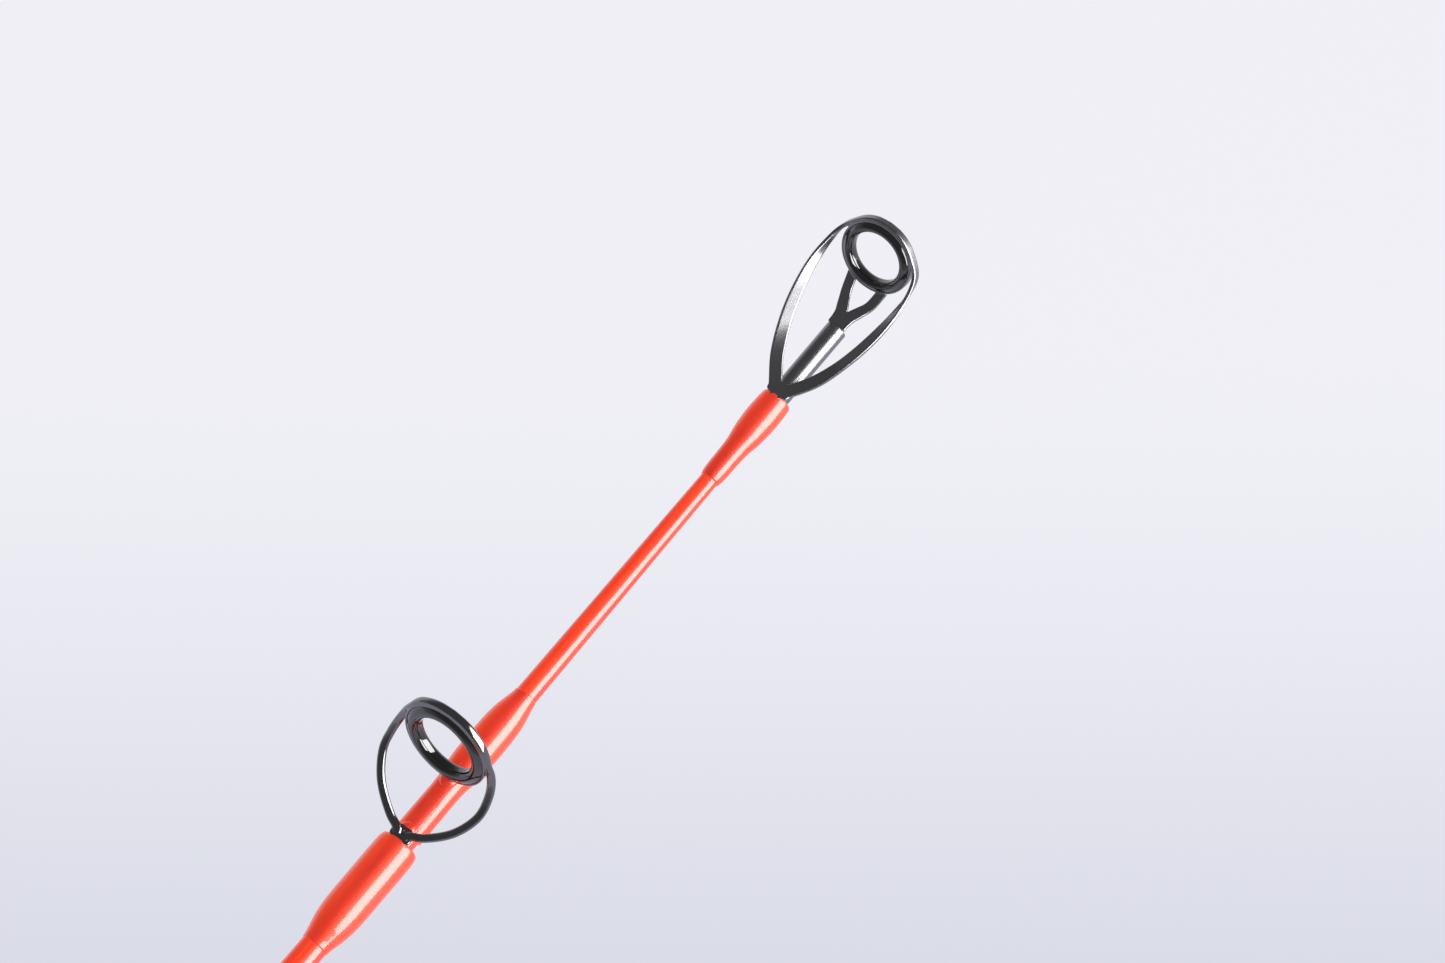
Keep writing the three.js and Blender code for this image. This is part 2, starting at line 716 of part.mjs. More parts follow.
// The seat's barrel: its thread, the flat saddle that the reel's foot lies on, and a keyway under
// the thread for the sliding hood's tab.
function seatBody() {
  const barrel = SEAT.barrel / 2;
  const body = join(
    turned([
      [seatStart, 0],
      [seatStart, SEAT.threadCrest / 2 + 0.5],
      [threadStart - 0.4, SEAT.threadCrest / 2 + 0.5],
      [threadStart - 0.2, barrel - 0.4],
      [threadEnd + 0.2, barrel - 0.4],
      [threadEnd + 0.4, barrel],
      [seatEnd, barrel],
      [seatEnd, 0],
    ]),
    thread(threadStart, threadEnd, SEAT.threadCrest / 2, threadStart),
    block(saddleStart, saddleEnd, -SEAT.saddleWidth / 2, SEAT.saddleWidth / 2, 0, SEAT.saddleHeight),
  );
  const half = KEYWAY.width / 2;
  const keywayEnd = hoodBack + KEYWAY.tabLength + 2;
  return cut(
    body,
    bar(seatStart - 1, seatEnd + 1, SEAT.bore / 2),
    block(threadStart - 0.4, keywayEnd, -half, half, -SEAT.threadCrest, -KEYWAY.floor),
  );
}

// A slab across the rod from an outline of [x, z] points.
function slab(outline, halfWidth) {
  const shape = new THREE.Shape(outline.map(([x, z]) => new THREE.Vector2(x, z)));
  const geometry = new THREE.ExtrudeGeometry(shape, { depth: 2 * halfWidth, bevelEnabled: false });
  return solidOf(geometry.rotateX(Math.PI / 2).translate(0, halfWidth, 0));
}

// A hood's shell: a sleeve over the barrel with a raised pocket for one end of the reel's foot.
// side is +1 where the pocket opens to the tip.
function hoodShell(start, end, side, bore) {
  const ceiling = SEAT.saddleHeight + HOOD.pocket;
  const half = HOOD.pocketWidth / 2;
  const [closed, mouth] = side > 0 ? [start, end] : [end, start];
  const roof = slab(
    [
      [closed, 0],
      [closed, ceiling - 2.6],
      [closed + side * HOOD.slope, ceiling + HOOD.wall],
      [mouth, ceiling + HOOD.wall],
      [mouth, 0],
    ],
    half + HOOD.wall,
  );
  const back = closed + side * 1.3 * HOOD.wall;
  const pocket = slab(
    [
      [back, 0],
      [back, ceiling - 3.3],
      [back + side * (HOOD.slope - 1), ceiling],
      [mouth + side, ceiling],
      [mouth + side, 0],
    ],
    half,
  );
  return cut(join(sleeveSolid(start, end, bore + HOOD.wall), roof), bar(start - 1, end + 1, bore), pocket);
}

const sleeveSolid = (start, end, radius) => turned([
  [start, 0],
  [start, radius - 0.35],
  [start + 0.4, radius],
  [end - 0.4, radius],
  [end, radius - 0.35],
  [end, 0],
]);

const fixedHoodBore = SEAT.barrel / 2 + GLUE_GAP;
const slidingHoodBore = SEAT.threadCrest / 2 + RUNNING_GAP;

function fixedHood() {
  const shell = hoodShell(fixedHoodStart, seatEnd, -1, fixedHoodBore);
  const clear = SEAT.saddleWidth / 2 + GLUE_GAP;
  const saddleTop = SEAT.saddleHeight + GLUE_GAP;
  return cut(shell, block(fixedHoodStart - 1, saddleEnd + FACE_GAP, -clear, clear, 0, saddleTop));
}

function slidingHood() {
  const half = KEYWAY.width / 2 - FACE_GAP;
  const tip = -KEYWAY.floor - RUNNING_GAP;
  const tab = block(hoodBack + 0.6, hoodBack + KEYWAY.tabLength, -half, half, -slidingHoodBore - 0.5, tip);
  return join(hoodShell(hoodBack, hoodFront, 1, slidingHoodBore), tab);
}

// A soft pad under a hood's roof that presses on the reel's foot.
function hoodPad(start) {
  const top = SEAT.saddleHeight + HOOD.pocket - FACE_GAP / 2;
  const half = PAD.width / 2;
  return block(start, start + PAD.length, -half, half, top - PAD.thickness, top);
}

// The knurled nut, with a thread of its own that runs on the seat's.
function lockingNut() {
  const radius = SEAT.threadCrest / 2 + RUNNING_GAP + NUT.wall;
  const body = turned([
    [nutBack, 0],
    [nutBack, radius - 1.2],
    [nutBack + 1.2, radius],
    [nutFront - 3, radius],
    [nutFront - 2.2, radius - 0.9],
    [nutFront, radius - 0.9],
    [nutFront, 0],
  ], 2 * SIDES);
  const flutes = Array.from({ length: NUT.flutes }, (_, i) => {
    const angle = (2 * Math.PI * (i + 0.5)) / NUT.flutes;
    const reach = radius + 1.6 - NUT.fluteDepth;
    return bar(nutBack - 1, nutFront - 4, 1.6, 1.6, 6)
      .translate([0, reach * Math.cos(angle), reach * Math.sin(angle)]);
  });
  const bore = thread(nutBack - 0.5, nutFront + 0.5, SEAT.threadCrest / 2 + RUNNING_GAP, threadStart);
  return cut(body, ...flutes, bore);
}

function foregrip() {
  const rear = FOREGRIP.rear / 2;
  const front = FOREGRIP.front / 2;
  const length = FOREGRIP.length;
  return sleeve(
    [
      [foregripStart, rear - 0.6],
      [foregripStart + 1.2, rear],
      [foregripStart + 0.22 * length, rear - 0.3],
      [foregripStart + 0.55 * length, THREE.MathUtils.lerp(front, rear, 0.55)],
      [foregripStart + 0.85 * length, THREE.MathUtils.lerp(front, rear, 0.16)],
      [foregripEnd, front],
    ],
    blankRadius(0) + GLUE_GAP,
  );
}

function windingCheck() {
  const radius = WINDING_CHECK.diameter / 2;
  return sleeve(
    [
      [checkStart, radius],
      [checkStart + 1.2, radius],
      [checkEnd - 0.6, radius - 0.9],
      [checkEnd, radius - 1.3],
    ],
    blankRadius(0) + GLUE_GAP,
  );
}

function handleWrap() {
  const [start, end] = [handleWrapStart, handleWrapEnd];
  return sleeve(
    [
      [start, blankRadius(start) + HANDLE_WRAP.coat],
      [end - 2.5, blankRadius(end) + HANDLE_WRAP.coat],
      [end - 0.8, blankRadius(end) + 0.7 * HANDLE_WRAP.coat],
      [end, blankRadius(end) + 0.2],
    ],
    blankRadius(start) + GLUE_GAP,
    blankRadius(end) + GLUE_GAP,
  );
}

function arbor(index) {
  const room = SEAT.length - ARBOR.length;
  const inset = 0.5 * Math.sign(1 - index);
  const start = seatStart + (room * index) / (ARBOR.count - 1) + inset;
  const radius = SEAT.bore / 2 - GLUE_GAP;
  return sleeve([[start, radius], [start + ARBOR.length, radius]], blankRadius(0) + GLUE_GAP);
}

// ---- The assembly ----
const rod = new THREE.Group();

function add(name, solid, material) {
  const mesh = new THREE.Mesh(geometryOf(solid), material);
  mesh.name = name;
  rod.add(mesh);
}

add("blank", blank(), GLASS_ORANGE);
add("tip_top_tube", tipTube(), SATIN_BLACK);
add("tip_top_frame", tipFrame(), SATIN_BLACK);
add("tip_top_ring", tipRing(), RING_BLACK);
add("tip_top_wrap", tipWrap(), THREAD_ORANGE);
GUIDES.forEach((guide, index) => {
  const parts = guideParts(guide);
  const name = `guide_${index + 1}`;
  add(`${name}_frame`, parts.frame(), POLISHED_BLACK);
  add(`${name}_ring`, parts.ring(), RING_BLACK);
  add(`${name}_front_wrap`, parts.frontWrap(), THREAD_ORANGE);
  add(`${name}_rear_wrap`, parts.rearWrap(), THREAD_ORANGE);
});
add("hook_keeper", keeperFrame(), POLISHED_BLACK);
add("hook_keeper_front_wrap", keeperWrap(1), THREAD_ORANGE);
add("hook_keeper_rear_wrap", keeperWrap(-1), THREAD_ORANGE);
add("handle_wrap", handleWrap(), THREAD_BLACK);
add("winding_check", windingCheck(), CHECK_METAL);
add("foregrip", foregrip(), FOAM_BLACK);
add("reel_seat_body", seatBody(), SEAT_BLACK);
add("fixed_hood", fixedHood(), HOOD_STEEL);
add("fixed_hood_pad", hoodPad(fixedHoodStart + PAD.inset), PAD_GREY);
add("sliding_hood", slidingHood(), HOOD_STEEL);
add("sliding_hood_pad", hoodPad(hoodFront - PAD.length - PAD.inset), PAD_GREY);
add("locking_nut", lockingNut(), SEAT_BLACK);
for (let i = 0; i < ARBOR.count; i++) {
  add(`seat_arbor_${i + 1}`, arbor(i), ARBOR_TAN);
}
add("rear_trim", rearTrim(), CHECK_METAL);
add("rear_grip", rearGrip(), FOAM_BLACK);
add("butt_cap", buttCap(), RUBBER_BLACK);

export default rod;
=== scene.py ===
"""Looks of an ice fishing rod: gloss blank, thread wraps, line guides, tip-top and handle."""

import logging
import math
from collections.abc import Callable, Sequence
from dataclasses import dataclass, field
from enum import Enum

import bmesh
import bpy
import numpy as np
from mathutils import Matrix, Vector

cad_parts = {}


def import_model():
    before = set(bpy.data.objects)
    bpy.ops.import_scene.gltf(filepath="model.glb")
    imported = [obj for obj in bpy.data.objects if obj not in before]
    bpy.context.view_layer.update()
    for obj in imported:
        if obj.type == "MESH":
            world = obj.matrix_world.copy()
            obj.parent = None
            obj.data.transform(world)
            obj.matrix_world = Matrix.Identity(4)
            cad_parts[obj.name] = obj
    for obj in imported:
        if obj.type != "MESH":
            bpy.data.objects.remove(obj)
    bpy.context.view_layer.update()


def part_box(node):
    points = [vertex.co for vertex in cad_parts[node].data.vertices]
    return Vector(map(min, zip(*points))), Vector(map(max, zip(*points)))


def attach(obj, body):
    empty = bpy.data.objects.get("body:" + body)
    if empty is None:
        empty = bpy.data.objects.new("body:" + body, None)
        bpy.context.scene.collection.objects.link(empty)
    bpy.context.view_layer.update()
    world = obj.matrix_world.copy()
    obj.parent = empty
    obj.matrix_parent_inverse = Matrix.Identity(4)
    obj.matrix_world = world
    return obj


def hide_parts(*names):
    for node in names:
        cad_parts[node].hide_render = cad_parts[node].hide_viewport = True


log = logging.getLogger("ice_fishing_rod")

MILLIMETRE = 0.001
ACROSS_ROD = np.array([0.0, 1.0, 0.0])
FINE_STEPS = 40
LIP_STEPS = np.array([0.01, 0.03, 0.055, 0.08])
HANDLE_SIDES = 160
GUIDE_SIZES = ((9.6, 6.7, 13.5), (12.0, 8.6, 14.5), (15.2, 11.2, 16.0), (19.2, 14.6, 18.0))
Profile = list[tuple[float, float]]
Setting = dict[str, object]


class Body(Enum):
    """The rigid bodies that the pieces ride on."""

    ROD = "rod"
    HOOD = "hood"
    NUT = "nut"


# ---- Shader graphs ----


def operator_method(operation: str, swapped: bool = False) -> Callable:
    """A method of Signal for one operator.

    Args:
        operation: The Math node's operation.
        swapped: Whether the other value comes first.

    Returns:
        The method.
    """

    def method(self: "Signal", other: object) -> "Signal":
        """The operator's result, through a Math node."""
        values = (other, self) if swapped else (self, other)
        return self._math(operation, *values)

    return method


class Signal:
    """A value socket that can be used in arithmetic; each operator adds a Math node."""

    def __init__(self, graph: "Graph", socket: bpy.types.NodeSocket) -> None:
        """Wraps a socket.

        Args:
            graph: The graph that the socket belongs to.
            socket: The output socket to wrap.
        """
        self.graph = graph
        self.socket = socket

    def _math(self, operation: str, *values: object) -> "Signal":
        """Adds a Math node and returns its result."""
        return self.graph.add("ShaderNodeMath", {"operation": operation}, dict(enumerate(values)))

    __add__ = operator_method("ADD")
    __sub__ = operator_method("SUBTRACT")
    __rsub__ = operator_method("SUBTRACT", swapped=True)
    __mul__ = operator_method("MULTIPLY")
    __truediv__ = operator_method("DIVIDE")
    __pow__ = operator_method("POWER")

    def sine(self) -> "Signal":
        """The sine of self, in radians."""
        return self._math("SINE", self)

    def angle_with(self, other: "Signal") -> "Signal":
        """The angle of the point (other, self)."""
        return self._math("ARCTAN2", self, other)

    def smooth(self, low: float, high: float) -> "Signal":
        """A smooth step of self.

        Args:
            low: Where the step starts, at 0.
            high: Where it ends, at 1.

        Returns:
            The step, from 0 to 1.
        """
        return self.graph.add(
            "ShaderNodeMapRange",
            {"interpolation_type": "SMOOTHSTEP"},
            {"Value": self, "From Min": low, "From Max": high},
        )


class Graph:
    """The node graph of one material or world."""

    def __init__(self, tree: bpy.types.NodeTree) -> None:
        """Clears a node tree and builds in it.

        Args:
            tree: The tree of a material or a world.
        """
        self.tree = tree
        tree.nodes.clear()

    def node(self, kind: str, settings: Setting, inputs: dict) -> bpy.types.Node:
        """Adds a node.

        Args:
            kind: The node's type.
            settings: Its own properties, set before its sockets.
            inputs: Values, Signals or sockets by socket name or number.

        Returns:
            The new node.
        """
        node = self.tree.nodes.new(kind)
        for name, value in settings.items():
            setattr(node, name, value)
        for key, value in inputs.items():
            socket = node.inputs[key]
            if isinstance(value, Signal):
                self.tree.links.new(value.socket, socket)
            elif isinstance(value, bpy.types.NodeSocket):
                self.tree.links.new(value, socket)
            else:
                socket.default_value = value
        return node

    def add(self, kind: str, settings: Setting, inputs: dict, output: int | str = 0) -> Signal:
        """Adds a node and returns one of its outputs as a Signal."""
        return Signal(self, self.node(kind, settings, inputs).outputs[output])

    def place(self) -> Signal:
        """The piece's own coordinates, in metres in the rod's frame."""
        return self.add("ShaderNodeTexCoord", {}, {}, "Object")

    def axes(self, place: Signal) -> tuple[Signal, Signal, Signal]:
        """The x, y and z of a place."""
        node = self.node("ShaderNodeSeparateXYZ", {}, {0: place})
        return tuple(Signal(self, socket) for socket in node.outputs)

    def stretched(self, place: Signal, scale: Sequence[float]) -> Signal:
        """A place with each axis scaled."""
        return self.add(
            "ShaderNodeVectorMath", {"operation": "MULTIPLY"}, {0: place, 1: tuple(scale)}
        )

    def noise(self, place: Signal, scale: float, detail: float = 2.0) -> Signal:
        """Noise around a place.

        Args:
            place: The coordinates to read it at.
            scale: How many grains fit in a metre.
            detail: How many finer layers it has.

        Returns:
            A value from 0 to 1.
        """
        return self.add(
            "ShaderNodeTexNoise", {}, {"Vector": place, "Scale": scale, "Detail": detail}
        )

    def mix(self, factor: Signal, low: Sequence[float], high: Sequence[float]) -> Signal:
        """A colour between two colours."""
        node = self.node("ShaderNodeMix", {"data_type": "RGBA"}, {0: factor, 6: low, 7: high})
        return Signal(self, node.outputs[2])

    def bump(self, height: Signal, distance: float, strength: float = 1.0) -> Signal:
        """A normal that is tilted by a height.

        Args:
            height: The height, from 0 to 1.
            distance: What a height of 1 stands for, in metres.
            strength: How much of the tilt to keep.

        Returns:
            The normal.
        """
        inputs = {"Height": height, "Distance": distance, "Strength": strength}
        return self.add("ShaderNodeBump", {}, inputs, "Normal")


def rgba(colour: Sequence[float]) -> tuple[float, float, float, float]:
    """A colour with full opacity."""
    return (*colour, 1.0)


# ---- Finishes ----


@dataclass(frozen=True)
class Finish:
    """A plain surface. What varies over it is added by the finishes that extend it."""

    slot: str
    colour: tuple[float, float, float]
    roughness: float
    metallic: float = 0.0
    ior: float = 1.5
    coat: float = 0.0
    coat_roughness: float = 0.03
    coat_ior: float = 1.5
    # Painted glow: light that the surface gives off in its own colour, though it is no lamp.
    glow: float = 0.0

    def varied(self, graph: Graph) -> dict[str, object]:
        """What varies over the surface, by the shader's socket name."""
        return {}

    def material(self) -> bpy.types.Material:
        """The finish as a material, built once."""
        name = f"{type(self).__name__}_{self.slot}"
        found = bpy.data.materials.get(name)
        if found:
            return found
        made = bpy.data.materials.new(name)
        made.use_nodes = True
        graph = Graph(made.node_tree)
        inputs = {
            "Base Color": rgba(self.colour),
            "Roughness": self.roughness,
            "Metallic": self.metallic,
            "IOR": self.ior,
            "Coat Weight": self.coat,
            "Coat Roughness": self.coat_roughness,
            "Coat IOR": self.coat_ior,
            "Emission Color": rgba(self.colour),
            "Emission Strength": self.glow,
        }
        inputs.update(self.varied(graph))
        shader = graph.node("ShaderNodeBsdfPrincipled", {}, inputs)
        graph.node("ShaderNodeOutputMaterial", {}, {"Surface": shader.outputs[0]})
        made.diffuse_color = rgba(self.colour)
        return made


@dataclass(frozen=True)
class GlossBlank(Finish):
    """Fluorescent glass fibre under a clear coat that has settled in faint waves."""

    wave_depth: float = 0.00001
    # Painted reflection: the darker red of the streaks along the rod.
    reflection_red: tuple[float, float, float] = (0.86, 0.035, 0.008)

    def varied(self, graph: Graph) -> dict[str, object]:
        """Darker red streaks along the rod, painted as dark reflections, and waves in the coat."""
        place = graph.place()
        reflection_streaks = graph.noise(graph.stretched(place, (0.04, 1.0, 1.0)), 2600.0, 3.0)
        waves = graph.noise(graph.stretched(place, (0.3, 1.0, 1.0)), 700.0, 2.0)
        # Painted reflection: darker red streaks that run along the rod.
        colour = graph.mix(reflection_streaks.smooth(0.3, 0.75), rgba(self.reflection_red), rgba(self.colour))
        return {
            "Base Color": colour,
            "Emission Color": colour,
            "Normal": graph.bump(waves, self.wave_depth),
        }


@dataclass(frozen=True)
class ThreadUnderEpoxy(Finish):
    """Wound thread that shows through the clear epoxy over it."""

    pitch: float = 0.00021
    groove: tuple[float, float, float] = (0.5, 0.012, 0.008)
    contrast: float = 0.012
    wave_depth: float = 0.000012
    foot_half: float = 0.0012

    def varied(self, graph: Graph) -> dict[str, object]:
        """Fine turns of thread, darker where the foot under them shows through."""
        place = graph.place()
        x, y, z = graph.axes(place)
        turn = z.angle_with(y) / math.tau
        ribs = ((x / self.pitch + turn) * math.tau).sine() * 0.5 + 0.5
        blotches = graph.noise(graph.stretched(place, (0.5, 1.0, 1.0)), 420.0, 3.0)
        uneven = (blotches - 0.5) * 0.0012
        foot = (y * y) ** 0.5 + uneven
        over_foot = (1.0 - foot.smooth(0.0001, self.foot_half)) * z.smooth(0.0, 0.0005)
        patch = blotches.smooth(0.45, 0.7) * over_foot
        dark = over_foot * 0.62 + (1.0 - ribs) * (patch * 0.5 + self.contrast)
        colour = graph.mix(1.0 - dark, rgba(self.groove), rgba(self.colour))
        waves = graph.noise(graph.stretched(place, (0.35, 1.0, 1.0)), 420.0, 2.0)
        height = waves + ribs * (patch * 0.05)
        return {
            "Base Color": colour,
            "Emission Color": colour,
            "Normal": graph.bump(height, self.wave_depth),
        }


@dataclass(frozen=True)
class PlatedMetal(Finish):
    """Plated metal with a fine grain in its sheen."""

    grain: float = 9000.0
    grain_depth: float = 0.000004
    spread: float = 0.1

    def varied(self, graph: Graph) -> dict[str, object]:
        """A fine grain in the roughness and the normal."""
        grain = graph.noise(graph.place(), self.grain, 3.0)
        return {
            "Roughness": (grain - 0.5) * self.spread + self.roughness,
            "Normal": graph.bump(grain, self.grain_depth),
        }


@dataclass(frozen=True)
class CellFoam(Finish):
    """Closed-cell foam, sanded to shape, so that cut cells pit its face."""

    cells: float = 1900.0
    pale: tuple[float, float, float] = (0.085, 0.085, 0.09)
    pit_depth: float = 0.00022

    def varied(self, graph: Graph) -> dict[str, object]:
        """Pits of the cut cells, and a mottled tone that is paler on the cells' rims than in their
        pits.
        """
        place = graph.place()
        cells = graph.add(
            "ShaderNodeTexVoronoi", {"feature": "F1"}, {"Vector": place, "Scale": self.cells}
        )
        mottle = graph.noise(place, 900.0, 4.0)
        speckle = graph.noise(place, 3400.0, 2.0).smooth(0.52, 0.7)
        # The tone is mottled at random, paler on the cells' rims and darker in their pits.
        tone = mottle.smooth(0.35, 0.8) * cells + speckle * 0.35
        colour = graph.mix(tone, rgba(self.colour), rgba(self.pale))
        return {
            "Base Color": colour,
            "Roughness": mottle * 0.15 + self.roughness,
            "Normal": graph.bump(cells, self.pit_depth, 0.8),
        }


@dataclass(frozen=True)
class MouldedPlastic(Finish):
    """Moulded plastic or rubber with a fine spark-eroded texture."""

    texture: float = 3800.0
    depth: float = 0.00001

    def varied(self, graph: Graph) -> dict[str, object]:
        """A fine even texture."""
        texture = graph.noise(graph.place(), self.texture, 2.0)
        return {
            "Roughness": (texture - 0.5) * 0.2 + self.roughness,
            "Normal": graph.bump(texture, self.depth),
        }


# Painted glow: the blank and the orange thread give off light of their own, which keeps their
# shaded sides bright.
BLANK_GLOSS = GlossBlank(
    "orange_glass_blank", (1.0, 0.062, 0.01), 0.4, coat=1.0, coat_roughness=0.03, glow=0.57
)
ORANGE_THREAD = ThreadUnderEpoxy(
    "orange_thread", (1.0, 0.06, 0.011), 0.4, coat=1.0, coat_roughness=0.025, glow=0.52
)
BLACK_THREAD = ThreadUnderEpoxy(
    "black_thread",
    (0.016, 0.016, 0.018),
    0.4,
    coat=1.0,
    coat_roughness=0.03,
    groove=(0.006, 0.006, 0.007),
    contrast=0.5,
)
SATIN_METAL = PlatedMetal("satin_black_metal", (0.25, 0.252, 0.262), 0.3, 1.0, spread=0.14)
POLISHED_METAL = PlatedMetal(
    "polished_black_metal", (0.2, 0.201, 0.21), 0.1, 1.0, grain_depth=0.0000008, spread=0.04
)
CERAMIC = Finish("black_ceramic", (0.004, 0.004, 0.005), 0.05, ior=1.9)
FOAM = CellFoam("foam", (0.014, 0.014, 0.015), 0.8)
SEAT_PLASTIC = MouldedPlastic("graphite_plastic", (0.016, 0.016, 0.018), 0.42)
HOOD_PLATE = PlatedMetal("hood_steel", (0.14, 0.142, 0.15), 0.24, 1.0)
PAD_PLASTIC = MouldedPlastic("hood_pad", (0.04, 0.04, 0.043), 0.6)
ANODISED = PlatedMetal("trim_metal", (0.55, 0.56, 0.59), 0.24, 1.0)
ARBOR_FOAM = CellFoam("arbor_foam", (0.5, 0.4, 0.26), 0.85, pale=(0.66, 0.56, 0.4))
BUTT_RUBBER = MouldedPlastic("butt_rubber", (0.011, 0.011, 0.012), 0.62, depth=0.00002)


# ---- Shapes, in millimetres ----


def softened(corners: Profile, radius: float, steps: int = 5) -> Profile:
    """Rounds the corners of a profile.

    Args:
        corners: The profile's points.
        radius: How far from each corner its curve starts.
        steps: Spans in each curve.

    Returns:
        The profile with a curve in place of each inner corner.
    """
    points = [np.array(corner, float) for corner in corners]
    made = [points[0]]
    for before, here, after in zip(points, points[1:], points[2:]):
        back, ahead = before - here, after - here
        reach = min(radius, 0.45 * np.linalg.norm(back), 0.45 * np.linalg.norm(ahead))
        start = here + back / np.linalg.norm(back) * reach
        end = here + ahead / np.linalg.norm(ahead) * reach
        for step in range(steps + 1):
            t = step / steps
            made.append((1 - t) ** 2 * start + 2 * t * (1 - t) * here + t**2 * end)
    made.append(points[-1])
    return [tuple(point) for point in made]


def flowing(points: Sequence[Sequence[float]], spans: int) -> np.ndarray:
    """A smooth curve through points, by centripetal Catmull-Rom, at even distances.

    Args:
        points: The points that it passes, in two or three dimensions.
        spans: How many spans to return.

    Returns:
        An array of spans + 1 points.
    """
    p = np.array(points, float)
    p = np.vstack([2 * p[0] - p[1], p, 2 * p[-1] - p[-2]])
    dense = []
    for a, b, c, d in zip(p, p[1:], p[2:], p[3:]):
        pairs = ((a, b), (b, c), (c, d))
        steps = [max(np.linalg.norm(v - u) ** 0.5, 1e-6) for u, v in pairs]
        t0, t1, t2, t3 = np.cumsum([0.0, *steps])
        t = np.linspace(t1, t2, FINE_STEPS, endpoint=False)[:, None]
        ab = (t1 - t) / (t1 - t0) * a + (t - t0) / (t1 - t0) * b
        bc = (t2 - t) / (t2 - t1) * b + (t - t1) / (t2 - t1) * c
        cd = (t3 - t) / (t3 - t2) * c + (t - t2) / (t3 - t2) * d
        abc = (t2 - t) / (t2 - t0) * ab + (t - t0) / (t2 - t0) * bc
        bcd = (t3 - t) / (t3 - t1) * bc + (t - t1) / (t3 - t1) * cd
        dense.append((t2 - t) / (t2 - t1) * abc + (t - t1) / (t2 - t1) * bcd)
    line = np.vstack([*dense, p[-2]])
    run = np.concatenate([[0.0], np.cumsum(np.linalg.norm(np.diff(line, axis=0), axis=1))])
    even = np.linspace(0.0, run[-1], spans + 1)
    return np.stack([np.interp(even, run, line[:, k]) for k in range(p.shape[1])], axis=1)


def sleeve(
    start: float, end: float, inside: float, outside: float, soft: float, steps: int = 5
) -> Profile:
    """A sleeve's outline as a loop with softened corners.

    Args:
        start: One end along its axis.
        end: The other end.
        inside: The radius of its bore.
        outside: Its outer radius.
        soft: How far the corners are softened.
        steps: Spans in each softened corner.

    Returns:
        The loop, from the middle of the bore.
    """
    middle = ((start + end) / 2, inside)
    corners = [middle, (start, inside), (start, outside), (end, outside), (end, inside), middle]
    return softened(corners, soft, steps)[:-1]


def ramp(distance: np.ndarray, length: float) -> np.ndarray:
    """How far up a rise of some length each distance is, from 0 to 1."""
    return np.clip(distance / length, 0, 1)


def smoothstep(low: float, high: float, value: float) -> float:
    """A smooth step from 0 at low to 1 at high."""
    t = min(1.0, max(0.0, (value - low) / (high - low)))
    return t * t * (3 - 2 * t)


def unit(v: np.ndarray) -> np.ndarray:
    """A vector with a length of 1."""
    return v / max(float(np.linalg.norm(v)), 1e-12)


@dataclass
class Placing:
    """Where a turned part's own axis lies: its centre and its lean towards the tip."""

    centre: tuple[float, float, float] = (0.0, 0.0, 0.0)
    lean: float = 0.0

    @property
    def normal(self) -> np.ndarray:
        """The part's axis."""
        return np.array([math.cos(self.lean), 0.0, -math.sin(self.lean)])

    @property
    def up(self) -> np.ndarray:
        """The direction across the part's axis that points away from the rod."""
        return np.array([math.sin(self.lean), 0.0, math.cos(self.lean)])

    def point(self, along: np.ndarray, radius: np.ndarray, angle: np.ndarray) -> np.ndarray:
        """Points by distance along the axis, radius, and angle from up towards +Y."""
        return (
            np.array(self.centre)
            + along[..., None] * self.normal
            + (radius * np.cos(angle))[..., None] * self.up
            + (radius * np.sin(angle))[..., None] * ACROSS_ROD
        )


